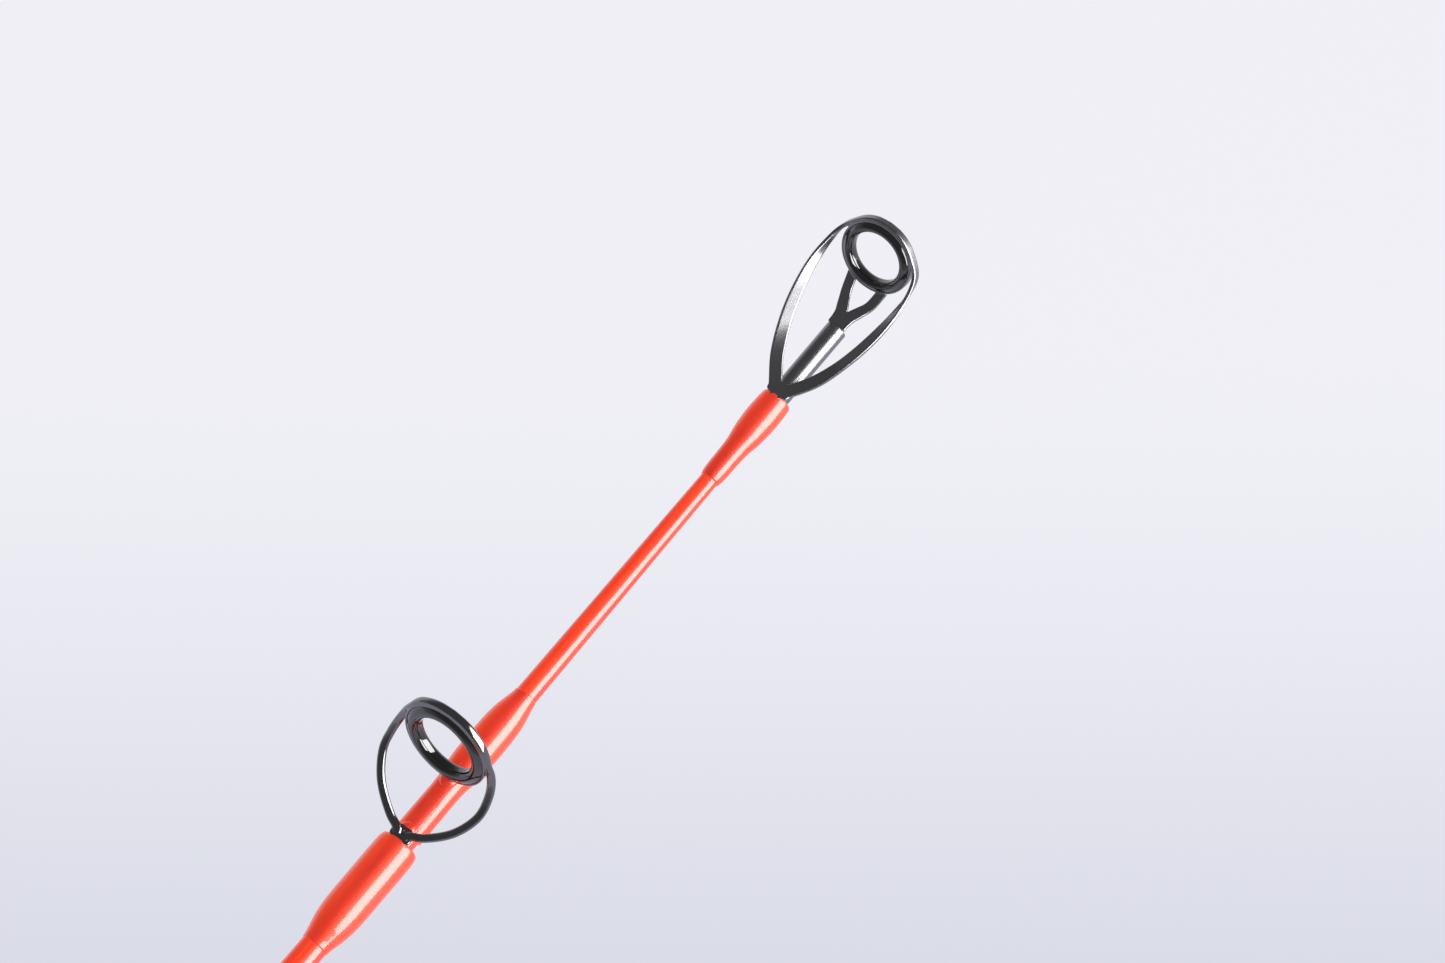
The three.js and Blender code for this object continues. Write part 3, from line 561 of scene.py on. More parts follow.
class Shape:
    """A mesh in the making, in millimetres in the rod's frame."""

    def __init__(self) -> None:
        """Starts with no faces."""
        self.points: list[np.ndarray] = []
        self.faces: list[tuple[int, ...]] = []
        self.count = 0

    def _keep(self, points: np.ndarray) -> int:
        """Adds points and returns the number of the first."""
        first = self.count
        self.points.append(points.reshape(-1, 3))
        self.count += len(self.points[-1])
        return first

    def skin(self, loops: np.ndarray, caps: bool = True, ring: bool = False) -> "Shape":
        """Adds a surface over closed loops.

        Args:
            loops: An array of loops by points by 3.
            caps: Whether the first and last loops are closed with a face.
            ring: Whether the last loop joins the first.

        Returns:
            The shape.
        """
        rows, across = loops.shape[:2]
        first = self._keep(loops)
        for i in range(rows if ring else rows - 1):
            here, there = first + i * across, first + ((i + 1) % rows) * across
            for j in range(across):
                k = (j + 1) % across
                self.faces.append((here + j, here + k, there + k, there + j))
        if caps and not ring:
            self.faces.append(tuple(range(first + across - 1, first - 1, -1)))
            last = first + (rows - 1) * across
            self.faces.append(tuple(range(last, last + across)))
        return self

    def turned(self, profile: Profile, placing: Placing | None = None, sides: int = 96) -> "Shape":
        """Adds a turned body from a profile of distance along its axis and radius.

        Args:
            profile: The outline. If it doesn't start on the axis, it closes on itself as a ring.
            placing: Where its axis lies.
            sides: Points round it.

        Returns:
            The shape.
        """
        placing = placing or Placing()
        rows = np.array(profile, float)
        angle = np.linspace(0.0, math.tau, sides, endpoint=False)
        along = np.repeat(rows[:, :1], sides, axis=1)
        radius = np.repeat(rows[:, 1:], sides, axis=1)
        open_ends = rows[0, 1] < 1e-6
        loops = placing.point(along, np.maximum(radius, 1e-4), angle[None, :])
        return self.skin(loops, caps=open_ends, ring=not open_ends)

    def polar(
        self,
        stations: np.ndarray,
        outer: Callable[[np.ndarray, np.ndarray], np.ndarray],
        inner: Callable[[np.ndarray, np.ndarray], np.ndarray],
        sides: int = 144,
    ) -> "Shape":
        """Adds a hollow body about the rod's axis whose two faces are radii by place and angle.

        Args:
            stations: Distances along the rod.
            outer: The outer radius at distances and angles.
            inner: The inner radius at distances and angles.
            sides: Points round it.

        Returns:
            The shape.
        """
        angle = np.linspace(0.0, math.tau, sides, endpoint=False)
        along, turn = np.meshgrid(stations, angle, indexing="ij")
        place = Placing()
        outside = place.point(along, outer(along, turn), turn)
        inside = place.point(along[::-1], inner(along[::-1], turn), turn)
        return self.skin(np.concatenate([outside, inside]), ring=True)

    def strip(
        self,
        path: np.ndarray,
        across: Sequence[np.ndarray],
        widths: Sequence[float],
        thickness: Sequence[float],
        round_off: float = 0.35,
        mirror: bool = False,
    ) -> "Shape":
        """Adds a bent strip of sheet metal with rounded edges.

        Args:
            path: The points of its middle line.
            across: The direction of its width at each point.
            widths: Its width at each point.
            thickness: Its thickness at each point.
            round_off: The edges' radius as a share of the thickness.
            mirror: Whether it goes on past its end, mirrored in the rod's middle plane.

        Returns:
            The shape.
        """
        tangents = np.gradient(path, axis=0)
        loops = []
        for point, tangent, side, width, depth in zip(path, tangents, across, widths, thickness):
            through = unit(np.cross(tangent, side))
            side = unit(np.cross(through, tangent))
            corners = rounded_box(width, depth, round_off * depth)
            loops.append([point + side * a + through * b for a, b in corners])
        loops = np.array(loops)
        if mirror:
            loops[-1, :, 1] = 0.0
            loops = np.concatenate([loops, loops[-2::-1] * np.array([1.0, -1.0, 1.0])])
        return self.skin(loops)

    def bar(self, path: np.ndarray, width: float, depth: float, round_off: float) -> "Shape":
        """Adds a strip of even width and thickness that lies across the rod."""
        count = len(path)
        return self.strip(path, [ACROSS_ROD] * count, [width] * count, [depth] * count, round_off)

    def mound(
        self, centre: Sequence[float], radii: Sequence[float], steps: int = 20
    ) -> "Shape":
        """Adds a drop of epoxy: an ellipsoid about a point.

        Args:
            centre: Its middle.
            radii: Its half sizes along each axis.
            steps: Loops from its foot to its top.

        Returns:
            The shape.
        """
        rise = np.linspace(-math.pi / 2 + 0.05, math.pi / 2 - 0.05, steps)[:, None]
        turn = np.linspace(0.0, math.tau, FINE_STEPS, endpoint=False)[None, :]
        flat, height = np.cos(rise), np.sin(rise) + 0 * turn
        ball = np.stack([flat * np.cos(turn), flat * np.sin(turn), height], axis=2)
        return self.skin(np.array(centre) + ball * np.array(radii))

    def mesh(self, name: str) -> bpy.types.Mesh:
        """The shape as a mesh in millimetres whose faces look outward."""
        mesh = bpy.data.meshes.new(name)
        mesh.from_pydata(np.concatenate(self.points).tolist(), [], self.faces)
        mesh.validate()
        turn_outward(mesh)
        return mesh

    def object(
        self, name: str, sharp_degrees: float = 38.0, voxel: float = 0.0
    ) -> bpy.types.Object:
        """The shape as a smooth-shaded Blender object.

        Args:
            name: The object's name.
            sharp_degrees: Edges that fold by more than this stay sharp.
            voxel: If set, its bodies are fused into one skin of this grain, with soft corners.

        Returns:
            The object, linked to the scene.
        """
        made = linked(bpy.data.objects.new(name, self.mesh(name)))
        if voxel:
            self._fuse(made, voxel)
        made.data.transform(Matrix.Scale(MILLIMETRE, 4))
        made.data.shade_smooth()
        if not voxel:
            made.data.set_sharp_from_angle(angle=math.radians(sharp_degrees))
        return made

    @staticmethod
    def _fuse(made: bpy.types.Object, voxel: float) -> None:
        """Swaps an object's mesh for one skin round all its bodies."""
        remesh = made.modifiers.new("fuse", "REMESH")
        remesh.mode = "VOXEL"
        remesh.voxel_size = voxel
        smooth = made.modifiers.new("soften", "SMOOTH")
        smooth.factor = 0.5
        smooth.iterations = 5
        settled = made.evaluated_get(bpy.context.evaluated_depsgraph_get())
        fused = bpy.data.meshes.new_from_object(settled)
        made.modifiers.clear()
        fused.name = made.data.name
        made.data = fused


def linked(made: bpy.types.Object) -> bpy.types.Object:
    """Links an object to the scene and returns it."""
    bpy.context.scene.collection.objects.link(made)
    return made


def turn_outward(mesh: bpy.types.Mesh) -> None:
    """Makes every face of a mesh look out of its solid."""
    work = bmesh.new()
    work.from_mesh(mesh)
    bmesh.ops.recalc_face_normals(work, faces=work.faces)
    work.to_mesh(mesh)
    work.free()


def rounded_box(width: float, height: float, radius: float, steps: int = 3) -> Profile:
    """The points of a rectangle with rounded corners, about its middle."""
    radius = min(radius, 0.49 * width, 0.49 * height)
    made = []
    for corner, (a, b) in enumerate(((1, 1), (-1, 1), (-1, -1), (1, -1))):
        for step in range(steps + 1):
            angle = math.pi / 2 * (corner + step / steps)
            made.append(
                (
                    a * (width / 2 - radius) + radius * math.cos(angle),
                    b * (height / 2 - radius) + radius * math.sin(angle),
                )
            )
    return made


@dataclass
class NodeBox:
    """A CAD node's extent in millimetres."""

    node: str
    low: Vector = field(init=False)
    high: Vector = field(init=False)

    def __post_init__(self) -> None:
        """Reads the node's corners from the frame."""
        low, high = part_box(self.node)
        self.low, self.high = low / MILLIMETRE, high / MILLIMETRE

    @property
    def start(self) -> float:
        """Where it starts along the rod."""
        return self.low.x

    @property
    def end(self) -> float:
        """Where it ends along the rod."""
        return self.high.x

    @property
    def radius(self) -> float:
        """Its greatest radius, by its width."""
        return (self.high.y - self.low.y) / 2


def place_piece(
    node: str,
    shape: Shape,
    finish: Finish,
    body: Body = Body.ROD,
    sharp_degrees: float = 38.0,
    voxel: float = 0.0,
) -> bpy.types.Object:
    """Puts a finished piece on its body in place of a CAD node.

    Args:
        node: The CAD node that it stands for.
        shape: Its shape.
        finish: Its finish.
        body: The body that it rides on.
        sharp_degrees: Edges that fold by more than this stay sharp.
        voxel: The grain of its one skin, if its bodies are to be fused.

    Returns:
        The piece.
    """
    made = shape.object(f"{node}.fine", sharp_degrees, voxel)
    made.data.materials.append(finish.material())
    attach(made, body.value)
    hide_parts(node)
    log.info("%s: %d faces, %s", made.name, len(made.data.polygons), finish.slot)
    return made


# ---- The blank and its wraps ----


@dataclass
class Blank:
    """The rod's solid glass blank."""

    handle_end: float = 248.2
    end_radius: float = 0.95
    dome: float = 0.5

    def __post_init__(self) -> None:
        """Reads the blank's extent, and where its taper ends, from the frame."""
        self.box = NodeBox("blank")
        self.tube = NodeBox("tip_top_tube")

    def radius(self, x: float | np.ndarray) -> float | np.ndarray:
        """The blank's radius at one or more distances along the rod."""
        share = ramp(x - self.handle_end, self.tube.start - self.handle_end)
        return self.box.radius + (self.end_radius - self.box.radius) * share

    def build(self) -> None:
        """Builds the blank with softened ends."""
        start = self.box.start
        corners = [
            (start, 0.0),
            (start, self.radius(start)),
            (self.handle_end, self.radius(self.handle_end)),
            (self.tube.start + 1.0, self.radius(self.tube.start) - 0.02),
            (self.box.end, self.end_radius - 0.05),
            (self.box.end, 0.0),
        ]
        shape = Shape().turned(softened(corners, self.dome), sides=HANDLE_SIDES)
        place_piece("blank", shape, BLANK_GLOSS)


@dataclass
class ThreadWrap:
    """A wound wrap under epoxy that holds a foot down.

    Its far shoulder thins out along the blank, and its near end stops short of the frame.
    """

    node: str
    blank: Blank
    far_side: int
    finish: Finish = ORANGE_THREAD
    meniscus: float = 0.06
    pitch: float = 0.21
    rib: float = 0.0
    shoulder: tuple[tuple[float, float], ...] = (
        (0.0, 0.0), (0.5, 0.08), (1.4, 0.36), (2.6, 0.72), (4.2, 0.95),
    )
    near: tuple[tuple[float, float], ...] = ((1.8, 0.0), (0.8, 0.03), (0.3, 0.12), (0.0, 0.26))
    plain_spacing: float = 0.12

    def outline(self) -> Profile:
        """The wrap's radius along the rod, from its far end to its near one."""
        box = NodeBox(self.node)
        far, near = (box.end, box.start) if self.far_side > 0 else (box.start, box.end)
        top = box.radius
        made = []
        for distance, share in self.shoulder:
            x = far - self.far_side * distance
            low = self.blank.radius(x) + self.meniscus
            made.append((x, low + (top - low) * share))
        made.append((far + (near - far) * 0.62, top))
        made += [(near + self.far_side * distance, top - drop) for distance, drop in self.near]
        return made

    def drops(self, shape: Shape) -> None:
        """Adds the drops of epoxy that have gathered by the wrap; a plain wrap has none."""

    def build(self) -> None:
        """Builds the wrap, with the faint ribs of its thread."""
        rows = flowing(self.outline(), 260)
        rows = rows[np.argsort(rows[:, 0])]
        start, end = rows[0, 0], rows[-1, 0]
        spacing = self.pitch / 6 if self.rib else self.plain_spacing
        middle = np.linspace(start, end, int((end - start) / spacing))
        stations = np.sort(np.concatenate([middle, start + LIP_STEPS, end - LIP_STEPS]))

        def outer(x: np.ndarray, turn: np.ndarray) -> np.ndarray:
            """The coat's radius, with a soft end and the thread's ribs."""
            base = np.interp(x, rows[:, 0], rows[:, 1])
            edge = np.minimum(x - start, end - x)
            fall = 1 - ramp(edge, 0.12)
            ribs = np.cos(math.tau * (x / self.pitch - turn / math.tau)) * self.rib
            return base - 0.1 * fall**2 + ribs * ramp(edge, 0.5)

        def inner(x: np.ndarray, turn: np.ndarray) -> np.ndarray:
            """Just inside the blank's face, so that no gap shows at the ends."""
            return self.blank.radius(x) - 0.05 + 0 * turn

        shape = Shape().polar(stations, outer, inner, 128)
        self.drops(shape)
        place_piece(self.node, shape, self.finish, sharp_degrees=70)


@dataclass
class RearWrap(ThreadWrap):
    """The wrap over a guide's rear foot, whose epoxy rises between the legs."""

    def drops(self, shape: Shape) -> None:
        """Adds the epoxy between the roots of the legs."""
        end = NodeBox(self.node).end
        shape.mound((end + 0.9, 0.0, self.blank.radius(end) + 0.1), (1.25, 0.95, 0.5))


@dataclass
class FrontWrap(ThreadWrap):
    """The wrap over a guide's front foot, with a thin coat that leads in to it."""

    coat: float = 0.24
    leg: float = 0.0
    rise: tuple[tuple[float, float], ...] = ((2.9, 0.93), (1.6, 0.62), (0.4, 0.18))

    def outline(self) -> Profile:
        """The thin coat, a soft rise at the leg, and the plain wrap."""
        box = NodeBox(self.node)
        made = [point for point in super().outline() if point[0] > self.leg + 4.2]
        top = box.radius
        low = self.blank.radius(self.leg) + self.coat
        made += [(self.leg + x, low + share * (top - low)) for x, share in self.rise]
        thin = self.leg - 2.5
        made += [(self.leg - 1.0, low + 0.01), (thin, self.blank.radius(thin) + self.coat)]
        made.append((box.start - 1.2, self.blank.radius(box.start) + self.coat))
        return made

    def drops(self, shape: Shape) -> None:
        """Adds the epoxy that has gathered round the foot of the leg."""
        shape.mound((self.leg + 0.25, 0.0, self.blank.radius(self.leg) + 0.3), (1.2, 0.95, 0.62))


@dataclass
class TipWrap(ThreadWrap):
    """The wrap over the tip-top's tube and foot, with thread ribs that show through its coat."""

    swell: tuple[tuple[float, float], ...] = (
        (0.0, 0.12), (0.5, 0.25), (1.4, 0.32), (3.2, 0.36), (4.6, 0.44), (6.2, 0.7),
        (8.2, 0.86), (9.6, 0.85), (10.5, 0.8), (11.0, 0.74), (11.2, 0.64),
    )

    def outline(self) -> Profile:
        """A thin lead-in up the blank and a long swell over the foot."""
        box = NodeBox(self.node)
        lift = box.radius - self.blank.end_radius - max(rise for _, rise in self.swell)
        return [(box.start + x, self.blank.end_radius + rise + lift) for x, rise in self.swell]


# ---- Rings and frames ----


@dataclass
class RingSeat:
    """A ceramic ring and the frame that holds it, placed from the ring's CAD box."""

    name: str
    lean_degrees: float
    outer: float
    bore: float
    thickness: float = 1.6
    band: float = 0.18
    sheet: float = 0.44
    band_width: float = 0.9
    strip_width: float = 1.4
    sheet_round: float = 0.3
    leg_turn: float = 0.45
    lift: tuple[float, float] = (0.0, 0.0)
    band_angles: tuple[float, ...] = (54.0, 36.0, 18.0, 0.0)
    sides: int = 144

    def __post_init__(self) -> None:
        """Places the ring from its CAD box."""
        box = NodeBox(f"{self.name}_ring")
        middle = (box.low + box.high) / 2
        centre = (middle.x + self.lift[0], 0.0, middle.z + self.lift[1])
        self.placing = Placing(centre, math.radians(self.lean_degrees))

    @property
    def rim(self) -> float:
        """The outside radius of the band round the ring."""
        return self.outer / 2 + self.band

    def ring(self) -> None:
        """Builds the ceramic ring: a flange, a step and a rounded lip."""
        rim, hole, half = self.outer / 2, self.bore / 2, self.thickness / 2
        wall = rim - hole
        front = [
            (0.0, hole),
            (half * 0.42, hole + 0.02 * wall),
            (half * 0.76, hole + 0.13 * wall),
            (half * 0.96, hole + 0.31 * wall),
            (half, hole + 0.48 * wall),
            (half * 0.93, hole + 0.64 * wall),
            (half * 0.78, hole + 0.78 * wall),
            (half * 0.62, hole + 0.9 * wall),
            (half * 0.4, rim),
        ]
        curve = [tuple(point) for point in flowing(front, 56)]
        back = [(-x, radius) for x, radius in curve[1:]][::-1]
        shape = Shape().turned([*curve, *back], self.placing, self.sides)
        place_piece(f"{self.name}_ring", shape, CERAMIC, sharp_degrees=60)

    def band_shape(self, shape: Shape) -> None:
        """Adds the thin band that the ring is pressed into."""
        inside, outside, half = self.rim - self.band - 0.08, self.rim, self.band_width / 2
        loop = sleeve(half, -half, inside, outside, 0.07, 3)
        shape.turned(loop, self.placing, self.sides)

    def hoop(
        self,
        shape: Shape,
        foot: Sequence[float],
        reach: float,
        legs: Sequence[Sequence[float]],
    ) -> None:
        """Adds the two legs that rise from the foot and meet over the ring as one band.

        Args:
            shape: The frame's shape.
            foot: Where a leg starts.
            reach: How far out the legs swing.
            legs: Shares of the way from the foot to the ring, along, across and up.
        """
        centre, normal = np.array(self.placing.centre), self.placing.normal
        start = np.array(foot, float)
        radius = self.rim + 0.18 * self.sheet
        points = [start - np.array([0.45, 0.32 * start[1], 0.0]), start]
        span = np.array([centre[0], reach, centre[2]]) - start
        points += [start + span * np.array(leg) for leg in legs]
        for degrees in self.band_angles:
            angle = math.radians(degrees)
            over = self.placing.up * math.cos(angle) + ACROSS_ROD * math.sin(angle)
            points.append(centre + normal * 0.05 + over * radius)
        path = flowing(points, 90)
        tangents = np.gradient(path, axis=0)
        shares = np.linspace(0, 1, len(path))
        across = []
        for share, tangent in zip(shares, tangents):
            flat = unit(np.array([tangent[1], -tangent[0], 0.0]))
            turn = self.leg_turn * smoothstep(0.06, 0.3, share)
            turn += (1.0 - self.leg_turn) * smoothstep(0.42, 0.84, share)
            across.append(unit(flat * (1 - turn) + normal * turn))
        narrowing = self.band_width - self.strip_width
        widths = [self.strip_width + narrowing * smoothstep(0.3, 0.8, share) for share in shares]
        depths = [self.sheet] * len(path)
        shape.strip(path, across, widths, depths, self.sheet_round, mirror=True)

    def foot(
        self, shape: Shape, root: float, length: float, width: float, low: float, thickness: float
    ) -> None:
        """Adds the flat foot that lies back from the legs' root.

        Args:
            shape: The frame's shape.
            root: Where the legs leave it, along the rod.
            length: How far it lies back.
            width: Its width at the root.
            low: The height of its underside.
            thickness: Its thickness.
        """
        stations = [
            (0.9, 0.5),
            (0.5, 0.84),
            (0.0, 0.92),
            (-0.5, 0.88),
            (-0.8, 0.46),
            (-1.2, 0.36),
            (-0.5 * length, 0.34),
            (-length, 0.2),
        ]
        rows = flowing([(root + x, share * width) for x, share in stations], 48)
        level = 0 * rows[:, 0]
        path = np.stack([rows[:, 0], level, level + low + thickness / 2], axis=1)
        widths = list(np.maximum(rows[:, 1], 0.2))
        shape.strip(path, [ACROSS_ROD] * len(path), widths, [thickness] * len(path))


@dataclass
class TipTop:
    """The tip-top: a tube over the blank's end, a stamped frame and its ring."""

    blank: Blank
    legs: tuple[tuple[float, float, float], ...] = (
        (0.17, 0.42, 0.14), (0.42, 0.78, 0.44), (0.7, 0.98, 0.76), (0.88, 0.99, 0.95),
        (1.01, 0.89, 1.18),
    )
    reach: float = 5.2
    root_width: float = 2.9
    foot_length: float = 4.6
    leg_offset: float = 0.74
    bore: float = 0.97
    fork_degrees: float = 152.0
    grain: float = 0.06

    def __post_init__(self) -> None:
        """Sizes the tip-top from the frame."""
        self.tube_box = NodeBox("tip_top_tube")
        self.wrap_box = NodeBox("tip_top_wrap")
        self.root = self.wrap_box.end + 0.5
        self.seat = RingSeat("tip_top", 27.5, 8.0, 5.7, lift=(0.3, 0.25))
        self.foot_low = self.tube_box.radius + 0.06

    def build(self) -> None:
        """Builds the tube, frame, ring and wrap."""
        self.tube()
        self.frame()
        self.seat.ring()
        TipWrap("tip_top_wrap", self.blank, -1, rib=0.0008).build()

    def tube(self) -> None:
        """Builds the drawn tube with a rolled edge at its open end."""
        box, radius = self.tube_box, self.tube_box.radius
        loop = [
            (box.start + 0.5, self.bore),
            (box.start, self.bore + 0.02),
            (box.start, radius - 0.05),
            (box.start + 0.5, radius),
            (box.end, radius),
            (box.end, self.bore),
            (box.start + 0.5, self.bore),
        ]
        shape = Shape().turned(softened(loop, 0.08, 4)[:-1], sides=128)
        place_piece("tip_top_tube", shape, SATIN_METAL)

    def frame(self) -> None:
        """Builds the stamped frame: foot, hoop, band, fork and fork plate."""
        shape = Shape()
        seat = self.seat
        foot = (self.root + 0.2, self.leg_offset, self.foot_low + seat.sheet / 2)
        seat.hoop(shape, foot, self.reach, self.legs)
        seat.foot(
            shape, self.root, self.foot_length, self.root_width, self.foot_low, seat.sheet
        )
        seat.band_shape(shape)
        for side in (1, -1):
            self.fork_arm(shape, side)
        place_piece("tip_top_frame", shape, SATIN_METAL, voxel=self.grain)

    def fork_arm(self, shape: Shape, side: int) -> None:
        """Adds one half of the fork: flush with the tube's end, then out to the ring's band."""
        seat, end, half = self.seat, self.tube_box.end, self.tube_box.radius
        angle = math.radians(self.fork_degrees)
        over = seat.placing.up * math.cos(angle) + ACROSS_ROD * (side * math.sin(angle))
        top = np.array(seat.placing.centre) + over * (seat.rim - seat.band / 2)
        low = half - seat.sheet / 2 - 0.05
        inset = half / 2 - 0.03
        route = [
            (end - 0.02, side * (inset - 0.14), low),
            (end + 0.8, side * (inset - 0.1), low),
            (end + 1.6, side * (inset + 0.05), low + 0.02),
            (end + 2.5, side * (inset + 0.46), low + 0.1),
            (end + 3.6, side * (inset + 0.95), low + 0.28),
            top,
        ]
        path = flowing(route, 48)
        tangents = np.gradient(path, axis=0)
        across = [unit(np.array([-t[1], t[0], 0.0])) for t in tangents]
        shares = np.linspace(0, 1, len(path))
        widths = [half + 0.14 - 0.16 * smoothstep(0.3, 0.6, share) for share in shares]
        shape.strip(path, across, widths, [seat.sheet] * len(path))


@dataclass
class Guide:
    """A double-foot line guide: two rear legs that swing out to a hoop, and one front leg."""

    number: int
    outer: float
    bore: float
    foot_length: float
    blank: Blank
    lean_degrees: float = 17.5
    legs: tuple[tuple[float, float, float], ...] = (
        (0.08, 0.26, 0.06), (0.31, 0.72, 0.25), (0.59, 0.98, 0.47), (0.78, 1.0, 0.63),
        (0.97, 0.92, 0.87),
    )
    root_width: float = 2.7
    leg_offset: float = 0.72
    foot_thickness: float = 0.44
    front_width: float = 1.0
    front_thickness: float = 0.34

    def __post_init__(self) -> None:
        """Places the guide from its CAD boxes."""
        self.name = f"guide_{self.number}"
        self.seat = RingSeat(
            self.name,
            self.lean_degrees,
            self.outer,
            self.bore,
            sheet=0.64,
            strip_width=0.92,
            band_width=0.92,
            sheet_round=0.48,
            leg_turn=-0.35,
        )
        self.rear = NodeBox(f"{self.name}_rear_wrap")
        self.front = NodeBox(f"{self.name}_front_wrap")
        self.root = self.rear.end + 0.5
        placing = self.seat.placing
        self.bottom = np.array(placing.centre) - placing.up * (self.seat.rim - self.seat.band / 2)
        self.leg = float(self.bottom[0]) + 0.35

    def build(self) -> None:
        """Builds the frame, ring and both wraps."""
        self.frame()
        self.seat.ring()
        RearWrap(f"{self.name}_rear_wrap", self.blank, -1).build()
        FrontWrap(f"{self.name}_front_wrap", self.blank, 1, leg=self.leg).build()

    def frame(self) -> None:
        """Builds the frame: rear foot, hoop, band and front leg."""
        shape, seat = Shape(), self.seat
        low = self.blank.radius(self.rear.start) + 0.06
        foot = (self.root + 0.2, self.leg_offset, low + seat.sheet / 2)
        seat.hoop(shape, foot, 1.27 * self.outer / 2, self.legs)
        length = self.foot_length - 2.5
        seat.foot(shape, self.root, length, self.root_width, low, self.foot_thickness)
        seat.band_shape(shape)
        self.front_leg(shape)
        grain = 0.06 + 0.005 * self.number
        place_piece(f"{self.name}_frame", shape, POLISHED_METAL, voxel=grain)

    def front_leg(self, shape: Shape) -> None:
        """Adds the leg under the ring and the foot that runs from it to the tip."""
        bottom, leg = self.bottom, self.leg
        height = self.blank.radius(leg) + 0.06 + self.front_thickness / 2
        path = flowing(
            [
                bottom,
                (leg - 0.1, 0.0, height + (bottom[2] - height) * 0.35),
                (leg + 0.2, 0.0, height + 0.3),
                (leg + 0.9, 0.0, height),
                (self.front.end - 3.0, 0.0, height),
            ],
            60,
        )
        shares = np.linspace(0, 1, len(path))
        widths = [self.front_width * (1 if s < 0.5 else 1 - 0.9 * (s - 0.5)) for s in shares]
        depths = [self.front_thickness] * len(path)
        shape.strip(path, [ACROSS_ROD] * len(path), widths, depths)


# ---- The handle ----


@dataclass
class Grip:
    """The foam grips, the butt cap and the metal trims, all turned about the blank."""

    blank: Blank
    rear_swell: tuple[tuple[float, float], ...] = (
        (0.0, 1.0), (0.12, 1.0), (0.3, 0.935), (0.5, 0.857), (0.7, 0.895), (0.86, 0.928),
        (1.0, 0.862),
    )

    def build(self) -> None:
        """Builds each turned piece of the handle."""
        self.butt_cap()
        self.rear_grip()
        self.foregrip()
        self.trim("rear_trim", 0.45)
        self.winding_check()
        handle = ThreadWrap("handle_wrap", self.blank, 1, BLACK_THREAD, pitch=0.3, rib=0.003)
        handle.build()

    def around_blank(self, outline: Profile, soft: float) -> Profile:
        """An outline closed along the blank's face, as a ring's loop."""
        start, end = outline[0][0], outline[-1][0]
        hole_start, hole_end = self.blank.radius(start) - 0.04, self.blank.radius(end) - 0.04
        middle = ((start + end) / 2, (hole_start + hole_end) / 2)
        loop = [middle, (start, hole_start), *outline, (end, hole_end), middle]
        return softened(loop, soft, 6)[:-1]

    def turned_piece(self, node: str, outline: Profile, soft: float, finish: Finish) -> None:
        """Builds a piece from an outline that is closed along the blank's face."""
        shape = Shape().turned(self.around_blank(outline, soft), sides=HANDLE_SIDES)
        place_piece(node, shape, finish)

    def butt_cap(self) -> None:
        """Builds the rubber cap, with a flat end and two grip lines round it."""
        box = NodeBox("butt_cap")
        lip = NodeBox("rear_grip").start - 0.3
        radius = box.radius
        corners = [(0.0, 0.0), (0.0, radius - 2.0), (0.8, radius - 0.6), (2.4, radius)]
        low = radius - 0.35
        for groove in (3.0, 4.2):
            corners += [(groove, radius), (groove + 0.1, low)]
            corners += [(groove + 0.6, low), (groove + 0.7, radius)]
        corners += [(lip, radius - 0.05), (lip, 9.0), (box.end, 8.7), (box.end, 0.0)]
        shape = Shape().turned(softened(corners, 0.5, 6), sides=HANDLE_SIDES)
        place_piece("butt_cap", shape, BUTT_RUBBER)

    def rear_grip(self) -> None:
        """Builds the rear grip's swell and waist."""
        box = NodeBox("rear_grip")
        length = box.end - box.start
        top = box.radius
        knots = [(box.start + share * length, top * swell) for share, swell in self.rear_swell]
        curve = [tuple(point) for point in flowing(knots, 90)[1:-1]]
        last = (box.end, top * self.rear_swell[-1][1] - 0.1)
        self.turned_piece("rear_grip", [(box.start, top - 0.7), *curve, last], 0.6, FOAM)

    def foregrip(self) -> None:
        """Builds the foregrip's taper to the winding check."""
        box, front = NodeBox("foregrip"), 6.25
        top = box.radius
        length = box.end - box.start
        fall = top - front
        knots = [
            (0.03, top),
            (0.22, top - 0.3),
            (0.55, front + 0.55 * fall),
            (0.85, front + 0.16 * fall),
            (1.0, front),
        ]
        curve = flowing([(box.start + share * length, radius) for share, radius in knots], 60)
        outline = [(box.start, top - 0.6), *[tuple(point) for point in curve]]
        self.turned_piece("foregrip", outline, 0.6, FOAM)

    def trim(self, node: str, soft: float) -> None:
        """Builds a polished ring with rounded edges."""
        box = NodeBox(node)
        outline = [(box.start, box.radius), (box.end, box.radius)]
        self.turned_piece(node, outline, soft, ANODISED)

    def winding_check(self) -> None:
        """Builds the collar between the foregrip and the handle wrap."""
        box = NodeBox("winding_check")
        radius = box.radius
        outline = [
            (box.start, radius),
            (box.start + 1.2, radius),
            (box.start + 1.35, radius - 0.25),
            (box.end - 0.7, radius - 0.95),
            (box.end, radius - 1.3),
        ]
        self.turned_piece("winding_check", outline, 0.2, ANODISED)


